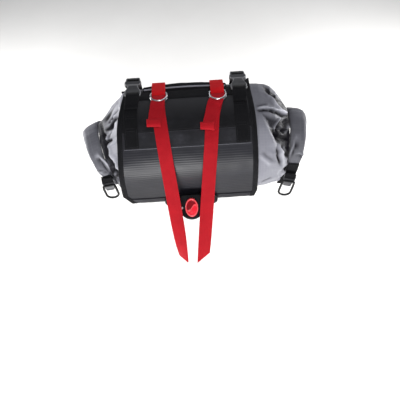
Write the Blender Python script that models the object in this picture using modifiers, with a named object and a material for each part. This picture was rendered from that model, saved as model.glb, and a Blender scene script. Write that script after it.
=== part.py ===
"""A bicycle handlebar bag: a roll-ended dry bag in a wrap-round cradle on a quick-release bracket.

The rider's side is -Y, the front is +Y, right is +X and up is +Z, in metres. The origin is the middle of
the plate's rider face, where the bar bracket takes hold. The bag's own axis runs along X. A place on the
wrap is given by its X, its turn (degrees from the rider's side, up over the top) and its lift off the cloth.
"""
import math

import bmesh
import bpy
from mathutils import Matrix, Vector

# Clearance between pieces, and the coarseness of round cloth in degrees
GAP = 0.0003
ROUND_STEP = 5.0

# The dry bag
BAG_RADIUS = 0.101
BAG_WALL = 0.0012
LEFT_MOUTH_REACH = 0.138
RIGHT_MOUTH_REACH = 0.184
MOUTH_ARCH_RADIUS = 0.056
MOUTH_ARCH_DROP = 0.020
LEFT_MOUTH_LEG = 0.032
RIGHT_MOUTH_LEG = 0.028
MOUTH_THICKNESS = 0.0090
LEFT_ROLL_WIDTH = 0.031
RIGHT_ROLL_WIDTH = 0.034
ROLL_THICKNESS = 0.017
ROLL_LEG_SHARE = 0.62
PEAK_ROUNDING = 0.55
ROLL_STEPS = 18
ROLL_SIDES = 10
MOUTH_CLEARANCE = 0.0014
LEFT_ROLL_LEAN = 0.036
RIGHT_ROLL_LEAN = 0.014

# The cradle
CRADLE_HALF_WIDTH = 0.127
CRADLE_WALL = 0.0022
CORNER_TURN = -30.9
CORNER_ROUND = 0.985
RIDER_TOP_TURN = 119.0
FRONT_TOP_TURN = -210.0
LEFT_CORNER_CUT = 0.021
RIGHT_CORNER_CUT = 0.006
CORNER_CUT_SPAN = 10.0
PANEL_THICKNESS = 0.0018
MIDDLE_PANEL_THICKNESS = 0.0012
LINE_A_TURN = 57.0
LINE_B_TURN = 41.0
PANEL_TOP_TURN = 108.0
BINDING_WIDTH = 0.0095
BINDING_THICKNESS = 0.0012
STRIP_HEIGHT_TURN = 4.6
STRIP_THICKNESS = 0.0015

# Webbing, all 25 mm stock
WEBBING_WIDTH = 0.025
WEBBING_THICKNESS = 0.0015
SIDE_WEBBING_INSET = 0.026
TOP_WEBBING_TURN = 93.5
FRONT_WEBBING_END_TURN = 188.0

# The rim
RIM_HALF_LENGTH = 0.080
RIM_TURN = 112.0
RIM_WIDTH = 0.0125
RIM_END_HEIGHT = 0.0050
RIM_ARCH = 0.0065

# Side-release buckles
BUCKLE_WIDTH = 0.034
BUCKLE_THICKNESS = 0.0095
SOCKET_LENGTH = 0.031
PLUG_LENGTH = 0.017
BUCKLE_WALL = 0.0017
SLOT_LENGTH = 0.0045
BAR_SIZE = 0.0024
WINDOW_DEPTH = 0.0045
WINDOW_LENGTH = 0.010
CAVITY_HEIGHT = 0.0052
PRONG_LENGTH = 0.016
PRONG_WIDTH = 0.0032
BUCKLE_TURN = 117.0
BUCKLE_LIFT = 0.0074

# Rings and red straps
RING_WIRE = 0.0033
RING_INNER_WIDTH = 0.0262
RING_DEPTH = 0.019
RING_CORNER = 0.0018
BOW_POWER = 3.0
STRAP_X = 0.053
LEFT_RING_X = 0.0485
RIGHT_RING_X = 0.0605
STRAP_SWING_LENGTH = 0.050
RING_TURN = 96.0
LEFT_INWARD_SHARE = 0.098
RIGHT_INWARD_SHARE = 0.1125
STRAP_END_BACK = 0.196
STRAP_END_DROP = 0.125
TAIL_END_TURN = 62.0
LEFT_TAIL_END_X = 0.059
RIGHT_TAIL_END_X = 0.037
TWIST_LENGTH = 0.120
CUP_FADE = 0.014
RING_SQUEEZE = 0.20
LEFT_TWIST = 52.0
RIGHT_TWIST = -22.0

# Hardware at the bag's two ends
END_WEBBING_WIDTH = 0.022
END_BUCKLE_WIDTH = 0.028
END_BUCKLE_LENGTH = 0.030
END_BUCKLE_FOOT = 0.017
END_BUCKLE_THICKNESS = 0.0075
END_HANG_TURN = 15.7
LEFT_END_HANG = 0.004
RIGHT_END_HANG = 0.012
LEFT_END_RISE = 0.0255
RIGHT_END_RISE = 0.010
LEFT_END_LEAN = 8.0
RIGHT_END_LEAN = -17.0
END_BUCKLE_CLEARANCE = 0.0008
END_RING_INNER_WIDTH = 0.0240

# The plate, the housing and the button
PLATE_HALF_WIDTH = 0.051
PLATE_HEIGHT = 0.033
PLATE_THICKNESS = 0.003
PLATE_TOP_DROP = 0.041
PLATE_END_RADIUS = 0.014
HOUSING_WIDTH = 0.046
HOUSING_LENGTH = 0.048
HOUSING_DEPTH = 0.034
HOUSING_TILT = 45.0
HOUSING_FACE_BACK = 0.134
HOUSING_FACE_DROP = 0.045
BUTTON_WIDTH = 0.0245
BUTTON_LENGTH = 0.0355
BUTTON_PROUD = 0.0028
BUTTON_DEPTH = 0.0060
BUTTON_TRAVEL = 0.0030
SCREW_RADIUS = 0.0022
SCREW_X = -0.0183

# Sizes that follow from the ones above
WRAP_RADIUS = BAG_RADIUS + GAP + CRADLE_WALL
STRIP_TOP_LIFT = GAP + STRIP_THICKNESS
PLATE_LIFT = STRIP_TOP_LIFT + GAP
PLATE_FACE_BACK = WRAP_RADIUS + PLATE_LIFT + PLATE_THICKNESS
PLATE_MIDDLE_DROP = PLATE_TOP_DROP + PLATE_HEIGHT / 2
AXIS = Vector((0.0, PLATE_FACE_BACK, PLATE_MIDDLE_DROP))
WEBBING_LIFT = GAP + PANEL_THICKNESS + GAP
STRAP_LIFT = WEBBING_LIFT + WEBBING_THICKNESS + GAP
SIDE_WEBBING_X = CRADLE_HALF_WIDTH - SIDE_WEBBING_INSET
RING_LIFT = STRAP_LIFT + WEBBING_THICKNESS + GAP + RING_WIRE / 2
BEND_RADIUS = BAR_SIZE * 0.71 + GAP + WEBBING_THICKNESS / 2
RING_BEND_RADIUS = RING_WIRE / 2 + 2 * GAP + WEBBING_THICKNESS / 2
BUCKLE_LENGTH = SOCKET_LENGTH + GAP + PLUG_LENGTH
BAR_ALONG = BUCKLE_LENGTH / 2 - BAR_SIZE / 2

# Sections of the dry bag's two ends. way: share of the mouth's reach. flat: 0 round, 1 the flat mouth.
LEFT_END = ((0.82, 0.00), (0.88, 0.10), (0.92, 0.28), (0.952, 0.50), (0.98, 0.76), (1.00, 1.00))
RIGHT_END = ((0.68, 0.00), (0.74, 0.04), (0.80, 0.12), (0.86, 0.25), (0.91, 0.42), (0.96, 0.68), (1.00, 1.00))
# Dents in the ends. way: share of the mouth's reach, - is left. turn: degrees. spread and depth: shares of
# the bag's radius.
DENTS = (
    (0.90, 64.0, 0.13, 0.085),
    (0.84, 30.0, 0.10, 0.035),
    (0.80, 98.0, 0.08, 0.045),
    (0.90, -12.0, 0.10, 0.050),
    (-0.96, 60.0, 0.11, 0.050),
    (-0.97, 22.0, 0.10, 0.045),
    (-0.95, 100.0, 0.09, 0.035),
)
AROUND = 44
TIP_TURN = -25.0
GATHERS = 9
GATHER_DEPTH = 0.035


def fresh_collection(name):
    collection = bpy.data.collections.new(name)
    bpy.context.scene.collection.children.link(collection)
    return collection


def paint(name, colour, roughness, metallic=0.0):
    material = bpy.data.materials.new(name)
    material.use_nodes = True
    surface = material.node_tree.nodes["Principled BSDF"]
    surface.inputs["Base Color"].default_value = (*colour, 1.0)
    surface.inputs["Roughness"].default_value = roughness
    surface.inputs["Metallic"].default_value = metallic
    return material


def place(name, mesh, material, seat=None):
    """Puts a mesh in the scene as a node of the bag, in the bag axis's own frame."""
    item = bpy.data.objects.new(name, mesh)
    PARTS.objects.link(item)
    item.parent = HOLDER
    item.matrix_basis = seat if seat is not None else Matrix.Identity(4)
    mesh.materials.append(material)
    return item


def direction(turn):
    """Outward and onward directions across the bag at a turn."""
    angle = math.radians(turn)
    outward = Vector((0.0, -math.cos(angle), math.sin(angle)))
    onward = Vector((0.0, math.sin(angle), math.cos(angle)))
    return outward, onward


def seat_at(x, turn, middle):
    """A frame at middle, with X along the bag, Y onward round it and Z outward."""
    outward, onward = direction(turn)
    frame = Matrix((Vector((1.0, 0.0, 0.0)), onward, outward)).transposed().to_4x4()
    frame.translation = middle + Vector((x, 0.0, 0.0))
    return frame


def wrap_radius(turn, lift):
    """Distance from the bag's axis: round the bag, and out along two flats to the bottom corner."""
    radius = WRAP_RADIUS + lift
    if not 2 * CORNER_TURN < turn < 0.0:
        return radius
    nearest = 0.0 if turn > CORNER_TURN else 2 * CORNER_TURN
    corner = radius / math.cos(math.radians(CORNER_TURN))
    return min(radius / math.cos(math.radians(turn - nearest)), CORNER_ROUND * corner)


def on_wrap(x, turn, lift):
    outward, _ = direction(turn)
    return Vector((x, 0.0, 0.0)) + outward * wrap_radius(turn, lift)


def beside(turn, along, lift):
    """A point beside a turn: along the tangent and off the cloth."""
    outward, onward = direction(turn)
    return outward * (WRAP_RADIUS + lift) + onward * along


def turns(first, last):
    """Turns from first to last in even steps, with the corner's own turns kept."""
    count = max(1, math.ceil((last - first) / ROUND_STEP))
    even = [first + (last - first) * step / count for step in range(count + 1)]
    kept = [turn for turn in (2 * CORNER_TURN, CORNER_TURN - 1.5, CORNER_TURN, CORNER_TURN + 1.5, 0.0)
            if first < turn < last]
    even = [turn for turn in even if all(abs(turn - other) > 1.2 for other in kept) or turn in (first, last)]
    return sorted(even + kept)


def wrap_edge(side, inset=0.0):
    """X of the cradle's side edge as a function of the turn, cut in at the bottom corner."""
    cut = LEFT_CORNER_CUT if side < 0 else RIGHT_CORNER_CUT

    def edge(turn):
        share = max(0.0, 1.0 - abs(turn - CORNER_TURN) / CORNER_CUT_SPAN)
        return side * (CRADLE_HALF_WIDTH - inset - cut * share)

    return edge


def straight_edge(x):
    """An edge at the same X at every turn."""

    def edge(turn):
        return x

    return edge


def grid_mesh(name, rows):
    """An open surface through rows of points, facing outward."""
    shell = bmesh.new()
    made = [[shell.verts.new(point) for point in row] for row in rows]
    for low, high in zip(made, made[1:]):
        for index in range(len(low) - 1):
            shell.faces.new((low[index], low[index + 1], high[index + 1], high[index]))
    mesh = bpy.data.meshes.new(name)
    shell.to_mesh(mesh)
    shell.free()
    return mesh


def thicken(item, thickness, side):
    """Gives an open surface its wall: side 1 is outward, 0 both ways."""
    wall = item.modifiers.new("wall", "SOLIDIFY")
    wall.thickness = thickness
    wall.offset = side
    wall.use_even_offset = True
    item.data.shade_smooth()
    item.data.set_sharp_from_angle(angle=math.radians(35))
    return item


def wrapped_sheet(name, rounds, left, right, lift, thickness, material):
    """A layer of cloth on the wrap, between two side edges that are given as functions of the turn."""
    rows = [[on_wrap(left(turn), turn, lift), on_wrap(right(turn), turn, lift)] for turn in rounds]
    return thicken(place(name, grid_mesh(name, rows), material), thickness, 1.0)


def ribbon(name, points, width, thickness, material, sides=None, cups=None):
    """Webbing along points. sides are its width directions, along the bag where none are given. cups are how
    much of a ring's bow each row follows, across its width.
    """
    sides = sides or [Vector((1.0, 0.0, 0.0))] * len(points)
    shares = (-0.5, 0.5) if cups is None else (-0.5, -0.3, 0.0, 0.3, 0.5)
    narrow = [1 - RING_SQUEEZE * cup for cup in cups or [0.0] * len(points)]
    rows = [[point + side * width * share * part for share in shares]
            for point, side, part in zip(points, sides, narrow)]
    if cups is not None:
        _, onward = direction(RING_TURN)
        for row, cup in zip(rows, cups):
            for index, share in enumerate(shares):
                row[index] = row[index] + onward * cup * bow_rise(share * width, RING_INNER_WIDTH, RING_DEPTH)
    return thicken(place(name, grid_mesh(name, rows), material), thickness, 0.0)


def bend_points(centre, radius, turn, first, last, count=7):
    """Points round a bar: angles in degrees from the onward direction towards the outward one."""
    outward, onward = direction(turn)
    angles = [math.radians(first + (last - first) * step / (count - 1)) for step in range(count)]
    return [centre + onward * radius * math.cos(a) + outward * radius * math.sin(a) for a in angles]


def arc(first, last, lift):
    """Points on the wrap from one turn to another, either way round."""
    rounds = turns(min(first, last), max(first, last))
    points = [on_wrap(0.0, turn, lift) for turn in rounds]
    return points if first < last else points[::-1]


def loft(name, rings, material):
    """A closed body through rings of points that run the same way round."""
    body = bmesh.new()
    made = [[body.verts.new(point) for point in ring] for ring in rings]
    for low, high in zip(made, made[1:]):
        for index in range(len(low)):
            after = (index + 1) % len(low)
            body.faces.new((low[index], low[after], high[after], high[index]))
    body.faces.new(made[0][::-1])
    body.faces.new(made[-1])
    bmesh.ops.recalc_face_normals(body, faces=body.faces)
    mesh = bpy.data.meshes.new(name)
    body.to_mesh(mesh)
    body.free()
    item = place(name, mesh, material)
    mesh.shade_smooth()
    mesh.set_sharp_from_angle(angle=math.radians(40))
    return item


def mouth_leg(side):
    return LEFT_MOUTH_LEG if side < 0 else RIGHT_MOUTH_LEG


def arch_length(side):
    return 2 * mouth_leg(side) + math.pi * MOUTH_ARCH_RADIUS


def arch_point(side, along, off):
    """A point on the mouth's arch: along from the rider's tip (0) to the front tip (1), off outward."""
    leg, bow = mouth_leg(side), math.pi * MOUTH_ARCH_RADIUS
    distance = along * arch_length(side)
    radius = MOUTH_ARCH_RADIUS + off
    if distance < leg:
        return Vector((0.0, -radius, distance - leg - MOUTH_ARCH_DROP))
    if distance > leg + bow:
        return Vector((0.0, radius, leg + bow - distance - MOUTH_ARCH_DROP))
    angle = (distance - leg) / MOUTH_ARCH_RADIUS
    return Vector((0.0, -radius * math.cos(angle), radius * math.sin(angle) - MOUTH_ARCH_DROP))


def peak(along):
    """0 at the roll's tips and 1 over its top, rising almost evenly to a soft fold."""
    share = 1 - abs(2 * along - 1)
    return share + PEAK_ROUNDING * share * (1 - share)


def mouth_x(side, along):
    """X of the mouth, whose middle reaches further than its two tips."""
    reach, lean = (LEFT_MOUTH_REACH, LEFT_ROLL_LEAN) if side < 0 else (RIGHT_MOUTH_REACH, RIGHT_ROLL_LEAN)
    return side * (reach + lean * peak(along))


def bag_point(side, way, flat, share):
    """A point of the dry bag: share is how far round the section, from the rider's tip over the top."""
    over = share < 0.5
    along = 2 * share if over else 2 - 2 * share
    turn = TIP_TURN + (180.0 - 2 * TIP_TURN) * along
    if not over:
        turn = TIP_TURN - (180.0 + 2 * TIP_TURN) * along
    outward, _ = direction(turn)
    ripple = 0.5 + 0.5 * math.cos(GATHERS * math.radians(turn))
    gather = GATHER_DEPTH * 4 * flat * (1 - flat) * ripple
    off = MOUTH_THICKNESS / 2 * (1 if over else -1)
    point = (outward * BAG_RADIUS * (1 - gather)).lerp(arch_point(side, along, off), flat)
    far = mouth_x(side, along)
    point.x = far * flat**2 + way * mouth_x(side, 0.0) * (1 - flat**2)
    for dent_way, dent_turn, spread, depth in DENTS:
        if dent_way * side < 0:
            continue
        gap_turn = math.radians((turn - dent_turn + 180.0) % 360.0 - 180.0)
        gap_way = (way - abs(dent_way)) * abs(mouth_x(side, 0.0)) / BAG_RADIUS
        near = math.exp(-(gap_turn**2 + gap_way**2) / (2 * spread**2))
        point -= outward * BAG_RADIUS * depth * near * (1 - flat)
    return point


def make_dry_bag():
    stations = [(-1, way, flat) for way, flat in reversed(LEFT_END)]
    stations += [(1, way, flat) for way, flat in RIGHT_END]
    shares = [(index + 0.5) / AROUND for index in range(AROUND)]
    rings = [[bag_point(side, way, flat, share) for share in shares] for side, way, flat in stations]
    rows = [[ring[index % AROUND] for ring in rings] for index in range(AROUND)]
    shell = bmesh.new()
    made = [[shell.verts.new(point) for point in row] for row in rows]
    for index, low in enumerate(made):
        high = made[(index + 1) % AROUND]
        for place_along in range(len(low) - 1):
            after = place_along + 1
            shell.faces.new((low[place_along], low[after], high[after], high[place_along]))
    mesh = bpy.data.meshes.new("dry_bag")
    shell.to_mesh(mesh)
    shell.free()
    item = thicken(place("dry_bag", mesh, GREY_CLOTH), BAG_WALL, -1.0)
    item.modifiers["wall"].use_even_offset = False
    return item


def make_roll(name, side):
    """The rolled mouth: a flat oval, widest over the top, along the mouth's arch."""
    width = LEFT_ROLL_WIDTH if side < 0 else RIGHT_ROLL_WIDTH
    rings = []
    for step in range(ROLL_STEPS + 1):
        along = step / ROLL_STEPS
        wide = width * (ROLL_LEG_SHARE + (1 - ROLL_LEG_SHARE) * peak(along))
        middle = mouth_x(side, along) + side * (MOUTH_CLEARANCE + wide / 2)
        ring = []
        for index in range(ROLL_SIDES):
            angle = 2 * math.pi * (index + 0.5) / ROLL_SIDES
            across = math.copysign(abs(math.cos(angle)) ** 0.6, math.cos(angle))
            off = math.copysign(abs(math.sin(angle)) ** 0.8, math.sin(angle)) * ROLL_THICKNESS / 2
            widest = math.cos(math.pi / ROLL_SIDES) ** 0.6
            x = middle + across / widest * wide / 2
            ring.append(arch_point(side, along, off) + Vector((x, 0.0, 0.0)))
        rings.append(ring)
    return loft(name, rings, GREY_CLOTH)


def make_cradle():
    """The wrap: one sheet from the front's top edge under the bag to the rider side's top edge."""
    wrapped_sheet("cradle", turns(FRONT_TOP_TURN, RIDER_TOP_TURN), wrap_edge(-1), wrap_edge(1), -CRADLE_WALL,
                  CRADLE_WALL, BLACK_CLOTH)


def make_panels():
    left, right = wrap_edge(-1, BINDING_WIDTH + GAP), wrap_edge(1, BINDING_WIDTH + GAP)
    seam = math.degrees(GAP / WRAP_RADIUS)
    wrapped_sheet("middle_panel", turns(LINE_B_TURN, LINE_A_TURN), left, right, GAP, MIDDLE_PANEL_THICKNESS,
                  BLACK_CLOTH)
    wrapped_sheet("upper_panel", turns(LINE_A_TURN + seam, PANEL_TOP_TURN), left, right, GAP, PANEL_THICKNESS,
                  BLACK_CLOTH)
    strip = turns(CORNER_TURN + 1.0, CORNER_TURN + 1.0 + STRIP_HEIGHT_TURN)
    wrapped_sheet("bottom_strip", strip, left, right, GAP, STRIP_THICKNESS, COATED_CLOTH)


def make_bindings():
    around = turns(FRONT_TOP_TURN, RIDER_TOP_TURN)
    wrapped_sheet("edge_binding_left", around, wrap_edge(-1), wrap_edge(-1, BINDING_WIDTH), GAP,
                  BINDING_THICKNESS, WEBBING_BLACK)
    wrapped_sheet("edge_binding_right", around, wrap_edge(1, BINDING_WIDTH), wrap_edge(1), GAP,
                  BINDING_THICKNESS, WEBBING_BLACK)


def make_rim():
    """The padded hem: a half-round lip that stands higher in the middle."""
    rings = []
    for step in range(11):
        share = 2 * step / 10 - 1
        height = RIM_END_HEIGHT + RIM_ARCH * (1 - share**2)
        ring = []
        for index in range(9):
            angle = math.pi * index / 8
            along = RIM_WIDTH / 2 * math.cos(angle)
            ring.append(beside(RIM_TURN, along, GAP + height * math.sin(angle))
                        + Vector((share * RIM_HALF_LENGTH, 0.0, 0.0)))
        rings.append(ring)
    return loft("top_rim", rings, WEBBING_BLACK)


def shifted(points, x):
    return [point + Vector((x, 0.0, 0.0)) for point in points]


def webbing_to_buckle(onto_plug):
    """Side view of webbing that comes along the wrap, turns round a buckle's bar and lies back on itself."""
    way = 1 if onto_plug else -1
    bar = beside(BUCKLE_TURN, way * BAR_ALONG, BUCKLE_LIFT)
    lift = (GAP if onto_plug else WEBBING_LIFT) + WEBBING_THICKNESS / 2
    near = BUCKLE_TURN + way * math.degrees((BAR_ALONG + 3 * BEND_RADIUS) / WRAP_RADIUS)
    far = FRONT_WEBBING_END_TURN if onto_plug else LINE_B_TURN + 0.5
    first, last = (270.0, 45.0) if onto_plug else (-90.0, 135.0)
    bend = bend_points(bar, BEND_RADIUS, BUCKLE_TURN, first, last, 9)
    fold = 2 * WEBBING_THICKNESS + 2 * GAP
    tail_turns = [near + way * 1.5, near + way * 5.0]
    tail = [on_wrap(0.0, turn, lift + fold) for turn in tail_turns]
    return arc(far, near, lift) + bend + tail


def make_webbing():
    reach = SIDE_WEBBING_X - WEBBING_WIDTH / 2 - GAP
    top = TOP_WEBBING_TURN + math.degrees(WEBBING_WIDTH / WRAP_RADIUS)
    wrapped_sheet("top_webbing", turns(TOP_WEBBING_TURN, top), straight_edge(-reach), straight_edge(reach),
                  WEBBING_LIFT, WEBBING_THICKNESS, WEBBING_BLACK)
    for name, x in (("left", -SIDE_WEBBING_X), ("right", SIDE_WEBBING_X)):
        for part, onto_plug in (("side_webbing_", False), ("front_webbing_", True)):
            ribbon(part + name, shifted(webbing_to_buckle(onto_plug), x), WEBBING_WIDTH, WEBBING_THICKNESS,
                   WEBBING_BLACK)


def box_mesh(name, size, middle=(0.0, 0.0, 0.0)):
    """A box from a cube primitive, with its size already in the mesh."""
    body = bmesh.new()
    bmesh.ops.create_cube(body, size=1.0)
    bmesh.ops.scale(body, vec=Vector(size), verts=body.verts)
    bmesh.ops.translate(body, vec=Vector(middle), verts=body.verts)
    mesh = bpy.data.meshes.new(name)
    body.to_mesh(mesh)
    body.free()
    return mesh


def shape_with(item, operation, mesh, seat=None):
    """Cuts or joins item with a helper mesh, in the item's own frame where no seat is given."""
    helper = bpy.data.objects.new(item.name + "_" + operation.lower(), mesh)
    CUTTERS.objects.link(helper)
    helper.parent = HOLDER
    helper.matrix_basis = seat if seat is not None else item.matrix_basis
    helper.hide_render = True
    helper.display_type = "WIRE"
    step = item.modifiers.new(operation.lower(), "BOOLEAN")
    step.operation = operation
    step.object = helper


def soften(item, width, segments=1):
    edge = item.modifiers.new("edges", "BEVEL")
    edge.width = width
    edge.segments = segments
    edge.limit_method = "ANGLE"
    edge.angle_limit = math.radians(40)


def cut_slot(item, bar, way, webbing):
    """A slot for webbing beside a bar at y = bar, with the bar thinned to a rod. way: 1 or -1 along Y."""
    width = webbing + 4 * GAP
    tall = 0.02
    slot = (0.0, bar + way * (BAR_SIZE + SLOT_LENGTH) / 2, 0.0)
    shape_with(item, "DIFFERENCE", box_mesh("slot", (width, SLOT_LENGTH, 2 * tall), slot))
    for face in (-1, 1):
        size = (width, 2 * BAR_SIZE + SLOT_LENGTH, tall)
        middle = (0.0, bar + way * (SLOT_LENGTH - BAR_SIZE) / 2, face * (BAR_SIZE + tall) / 2)
        shape_with(item, "DIFFERENCE", box_mesh("bar", size, middle))


def make_buckle(name, x):
    """A fastened side-release buckle: a hollow socket on the rider's side and a plug with two prongs."""
    seat = seat_at(x, BUCKLE_TURN, beside(BUCKLE_TURN, 0.0, BUCKLE_LIFT))
    socket_middle = -BUCKLE_LENGTH / 2 + SOCKET_LENGTH / 2
    socket_end = -BUCKLE_LENGTH / 2 + SOCKET_LENGTH
    plug_middle = BUCKLE_LENGTH / 2 - PLUG_LENGTH / 2
    cavity_length = PRONG_LENGTH + 2 * GAP
    cavity_width = BUCKLE_WIDTH - 2 * BUCKLE_WALL

    socket = place(name + "_socket",
                   box_mesh("socket", (BUCKLE_WIDTH, SOCKET_LENGTH, BUCKLE_THICKNESS), (0, socket_middle, 0)),
                   DARK_PLASTIC, seat)
    soften(socket, 0.0012, 2)
    cut_slot(socket, -BAR_ALONG, 1, WEBBING_WIDTH)
    shape_with(socket, "DIFFERENCE", box_mesh("cavity", (cavity_width, cavity_length + 0.005, CAVITY_HEIGHT),
                                              (0, socket_end - cavity_length / 2 + 0.0025, 0)))
    for side in (-1, 1):
        window = (side * (BUCKLE_WIDTH / 2 + 0.005 - WINDOW_DEPTH), socket_end - WINDOW_LENGTH * 0.85, 0)
        shape_with(socket, "DIFFERENCE", box_mesh("window", (0.010, WINDOW_LENGTH, 0.03), window))

    plug = place(name + "_plug",
                 box_mesh("plug", (BUCKLE_WIDTH - 0.001, PLUG_LENGTH, BUCKLE_THICKNESS - 0.0008),
                          (0, plug_middle, 0)), DARK_PLASTIC, seat)
    soften(plug, 0.0012, 2)
    cut_slot(plug, BAR_ALONG, -1, WEBBING_WIDTH)
    prong_height = CAVITY_HEIGHT - 2 * GAP
    prong_middle = plug_middle - PLUG_LENGTH / 2 - PRONG_LENGTH / 2 + 0.002
    for side in (-1, 0, 1):
        at = side * (BUCKLE_WIDTH / 2 - WINDOW_DEPTH - 2 * GAP - PRONG_WIDTH / 2)
        wide = PRONG_WIDTH * (2.0 if side == 0 else 1.0)
        prong = box_mesh("prong", (wide, PRONG_LENGTH - 0.001, prong_height), (at, prong_middle + 0.0005, 0))
        shape_with(plug, "UNION", prong)


def curve_tube(name, points, radius, material, seat=None, closed=True):
    """A wire along points, as a curve with a round section."""
    curve = bpy.data.curves.new(name, "CURVE")
    curve.dimensions = "3D"
    curve.bevel_depth = radius
    curve.bevel_resolution = 2
    curve.use_fill_caps = True
    spline = curve.splines.new("POLY")
    spline.points.add(len(points) - 1)
    for spot, point in zip(spline.points, points):
        spot.co = (*point, 1.0)
    spline.use_cyclic_u = closed
    return place(name, curve, material, seat)


def bow_rise(x, inner_width, depth):
    """How far a D-ring's bow stands above its lowest point, at x from its middle."""
    half = inner_width / 2 + RING_WIRE / 2
    return (depth - RING_CORNER) * (1 - (1 - min(1.0, abs(x) / half) ** BOW_POWER) ** (1 / BOW_POWER))


def ring_outline(inner_width, depth):
    """Middle line of a D-ring's wire: a straight bar onward, small corners and a bow behind."""
    half = inner_width / 2 + RING_WIRE / 2
    points = []
    for side in (-1, 1):
        for step in (0, 1, 2):
            angle = math.radians(45 * step if side < 0 else 90 - 45 * step)
            points.append(Vector((side * (half - RING_CORNER + RING_CORNER * math.cos(angle)),
                                  depth / 2 - RING_CORNER + RING_CORNER * math.sin(angle), 0.0)))
    for step in range(1, 14):
        x = half * math.cos(math.pi * step / 14)
        points.append(Vector((x, bow_rise(x, inner_width, depth) - depth / 2, 0.0)))
    return points


def make_ring_and_loop(label, side):
    """A D-ring on the cradle's top, held by a webbing loop that passes over the rim."""
    x = ring_x(side)
    middle = beside(RING_TURN, 0.0, RING_LIFT)
    curve_tube("d_ring_" + label, ring_outline(RING_INNER_WIDTH, RING_DEPTH), RING_WIRE / 2, STEEL,
               seat_at(x, RING_TURN, middle))
    bar = beside(RING_TURN, RING_DEPTH / 2, RING_LIFT)
    rim_top = GAP + RIM_END_HEIGHT + RIM_ARCH * (1 - (x / RIM_HALF_LENGTH) ** 2)
    over = rim_top + 2 * GAP + WEBBING_THICKNESS
    under = STRAP_LIFT + WEBBING_THICKNESS / 2
    behind = GAP * 2 + WEBBING_THICKNESS / 2 - CRADLE_WALL
    reach = math.degrees(RIM_WIDTH / 2 / WRAP_RADIUS)
    path = [on_wrap(0.0, turn, lift) for turn, lift in (
        (RIDER_TOP_TURN + 9.0, behind), (RIDER_TOP_TURN + 5.0, behind + GAP), (RIDER_TOP_TURN + 2.0, 0.0020),
        (RIM_TURN + reach + 1.5, over * 0.72), (RIM_TURN + reach * 0.5, over), (RIM_TURN, over + GAP),
        (RIM_TURN - reach * 0.8, over), (RIM_TURN - reach - 2.0, RING_LIFT + RING_BEND_RADIUS + 0.0004))]
    path += bend_points(bar, RING_BEND_RADIUS, RING_TURN, 90.0, 270.0)
    path += arc(RING_TURN + 7.8, RIM_TURN - reach - 1.2, under)
    ribbon("red_loop_" + label, shifted(path, x), WEBBING_WIDTH, WEBBING_THICKNESS, RED_WEBBING)


def ring_x(side):
    return side * (LEFT_RING_X if side < 0 else RIGHT_RING_X)


def strap_x(side, distance):
    """X of a long strap at a distance below its ring: it swings in from the ring to its own straight line."""
    inward = LEFT_INWARD_SHARE if side < 0 else RIGHT_INWARD_SHARE
    swing = max(0.0, 1 - distance / STRAP_SWING_LENGTH) ** 2
    return side * (STRAP_X - inward * distance) * (1 - swing) + ring_x(side) * swing


def make_red_strap(label, side):
    """A long strap: its tail lies on it, it turns round the ring's bow and runs down past the housing."""
    lift = WEBBING_LIFT + WEBBING_THICKNESS / 2
    bow = beside(RING_TURN, -RING_DEPTH / 2, RING_LIFT)
    tail_end = side * (LEFT_TAIL_END_X if side < 0 else RIGHT_TAIL_END_X)
    first = RING_TURN - math.degrees((RING_DEPTH / 2 + 2 * RING_BEND_RADIUS) / WRAP_RADIUS)
    over = RING_LIFT + RING_BEND_RADIUS
    doubled = lift + WEBBING_THICKNESS + 2 * GAP
    tail = [on_wrap(0.0, turn, height) for turn, height in (
        (TAIL_END_TURN, doubled + 0.0032), (TAIL_END_TURN + 3.5, doubled + 0.0020),
        (TAIL_END_TURN + 9.0, doubled + 0.0008), (TAIL_END_TURN + 15.0, doubled + 0.0012),
        (first - 4.0, doubled + 0.0030), (first, over + 0.0003))]
    bend = bend_points(bow, RING_BEND_RADIUS, RING_TURN, 90.0, -90.0)
    end = Vector((0.0, -STRAP_END_BACK, -STRAP_END_DROP))
    radius = WRAP_RADIUS + lift
    leave = math.degrees(math.atan2(-STRAP_END_DROP, STRAP_END_BACK) + math.acos(radius / end.length))
    down = [on_wrap(0.0, first - 1.0, lift + 0.0009)] + arc(first - 4.0, leave, lift)
    free = 12
    start = down[-1]
    down += [start.lerp(end, step / free) for step in range(1, free + 1)]
    points, distance, cups = [], 0.0, []
    for index, point in enumerate(tail):
        share = 1 - index / (len(tail) - 1)
        points.append(point + Vector((ring_x(side) + (tail_end - ring_x(side)) * share, 0.0, 0.0)))
        cups.append(max(0.0, 1 - 1.4 * share))
    points += shifted(bend, ring_x(side))
    cups += [1.0] * len(bend)
    last = bend[-1]
    total = sum((b - a).length for a, b in zip([last] + down, down))
    sides_twist = [0.0] * len(points)
    for point in down:
        distance += (point - last).length
        last = point
        points.append(point + Vector((strap_x(side, distance), 0.0, 0.0)))
        into = max(0.0, (distance - total + TWIST_LENGTH) / TWIST_LENGTH)
        sides_twist.append((LEFT_TWIST if side < 0 else RIGHT_TWIST) * into**2)
        cups.append(max(0.0, 1 - distance / CUP_FADE))
    sides = []
    across = Vector((1.0, 0.0, 0.0))
    for index, point in enumerate(points):
        before, after = points[max(0, index - 1)], points[min(len(points) - 1, index + 1)]
        onward = (after - before).normalized()
        level = (across - onward * across.dot(onward)).normalized()
        sides.append(Matrix.Rotation(math.radians(sides_twist[index]), 3, onward) @ level)
    ribbon("red_strap_" + label, points, WEBBING_WIDTH, WEBBING_THICKNESS, RED_WEBBING, sides, cups)


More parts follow.
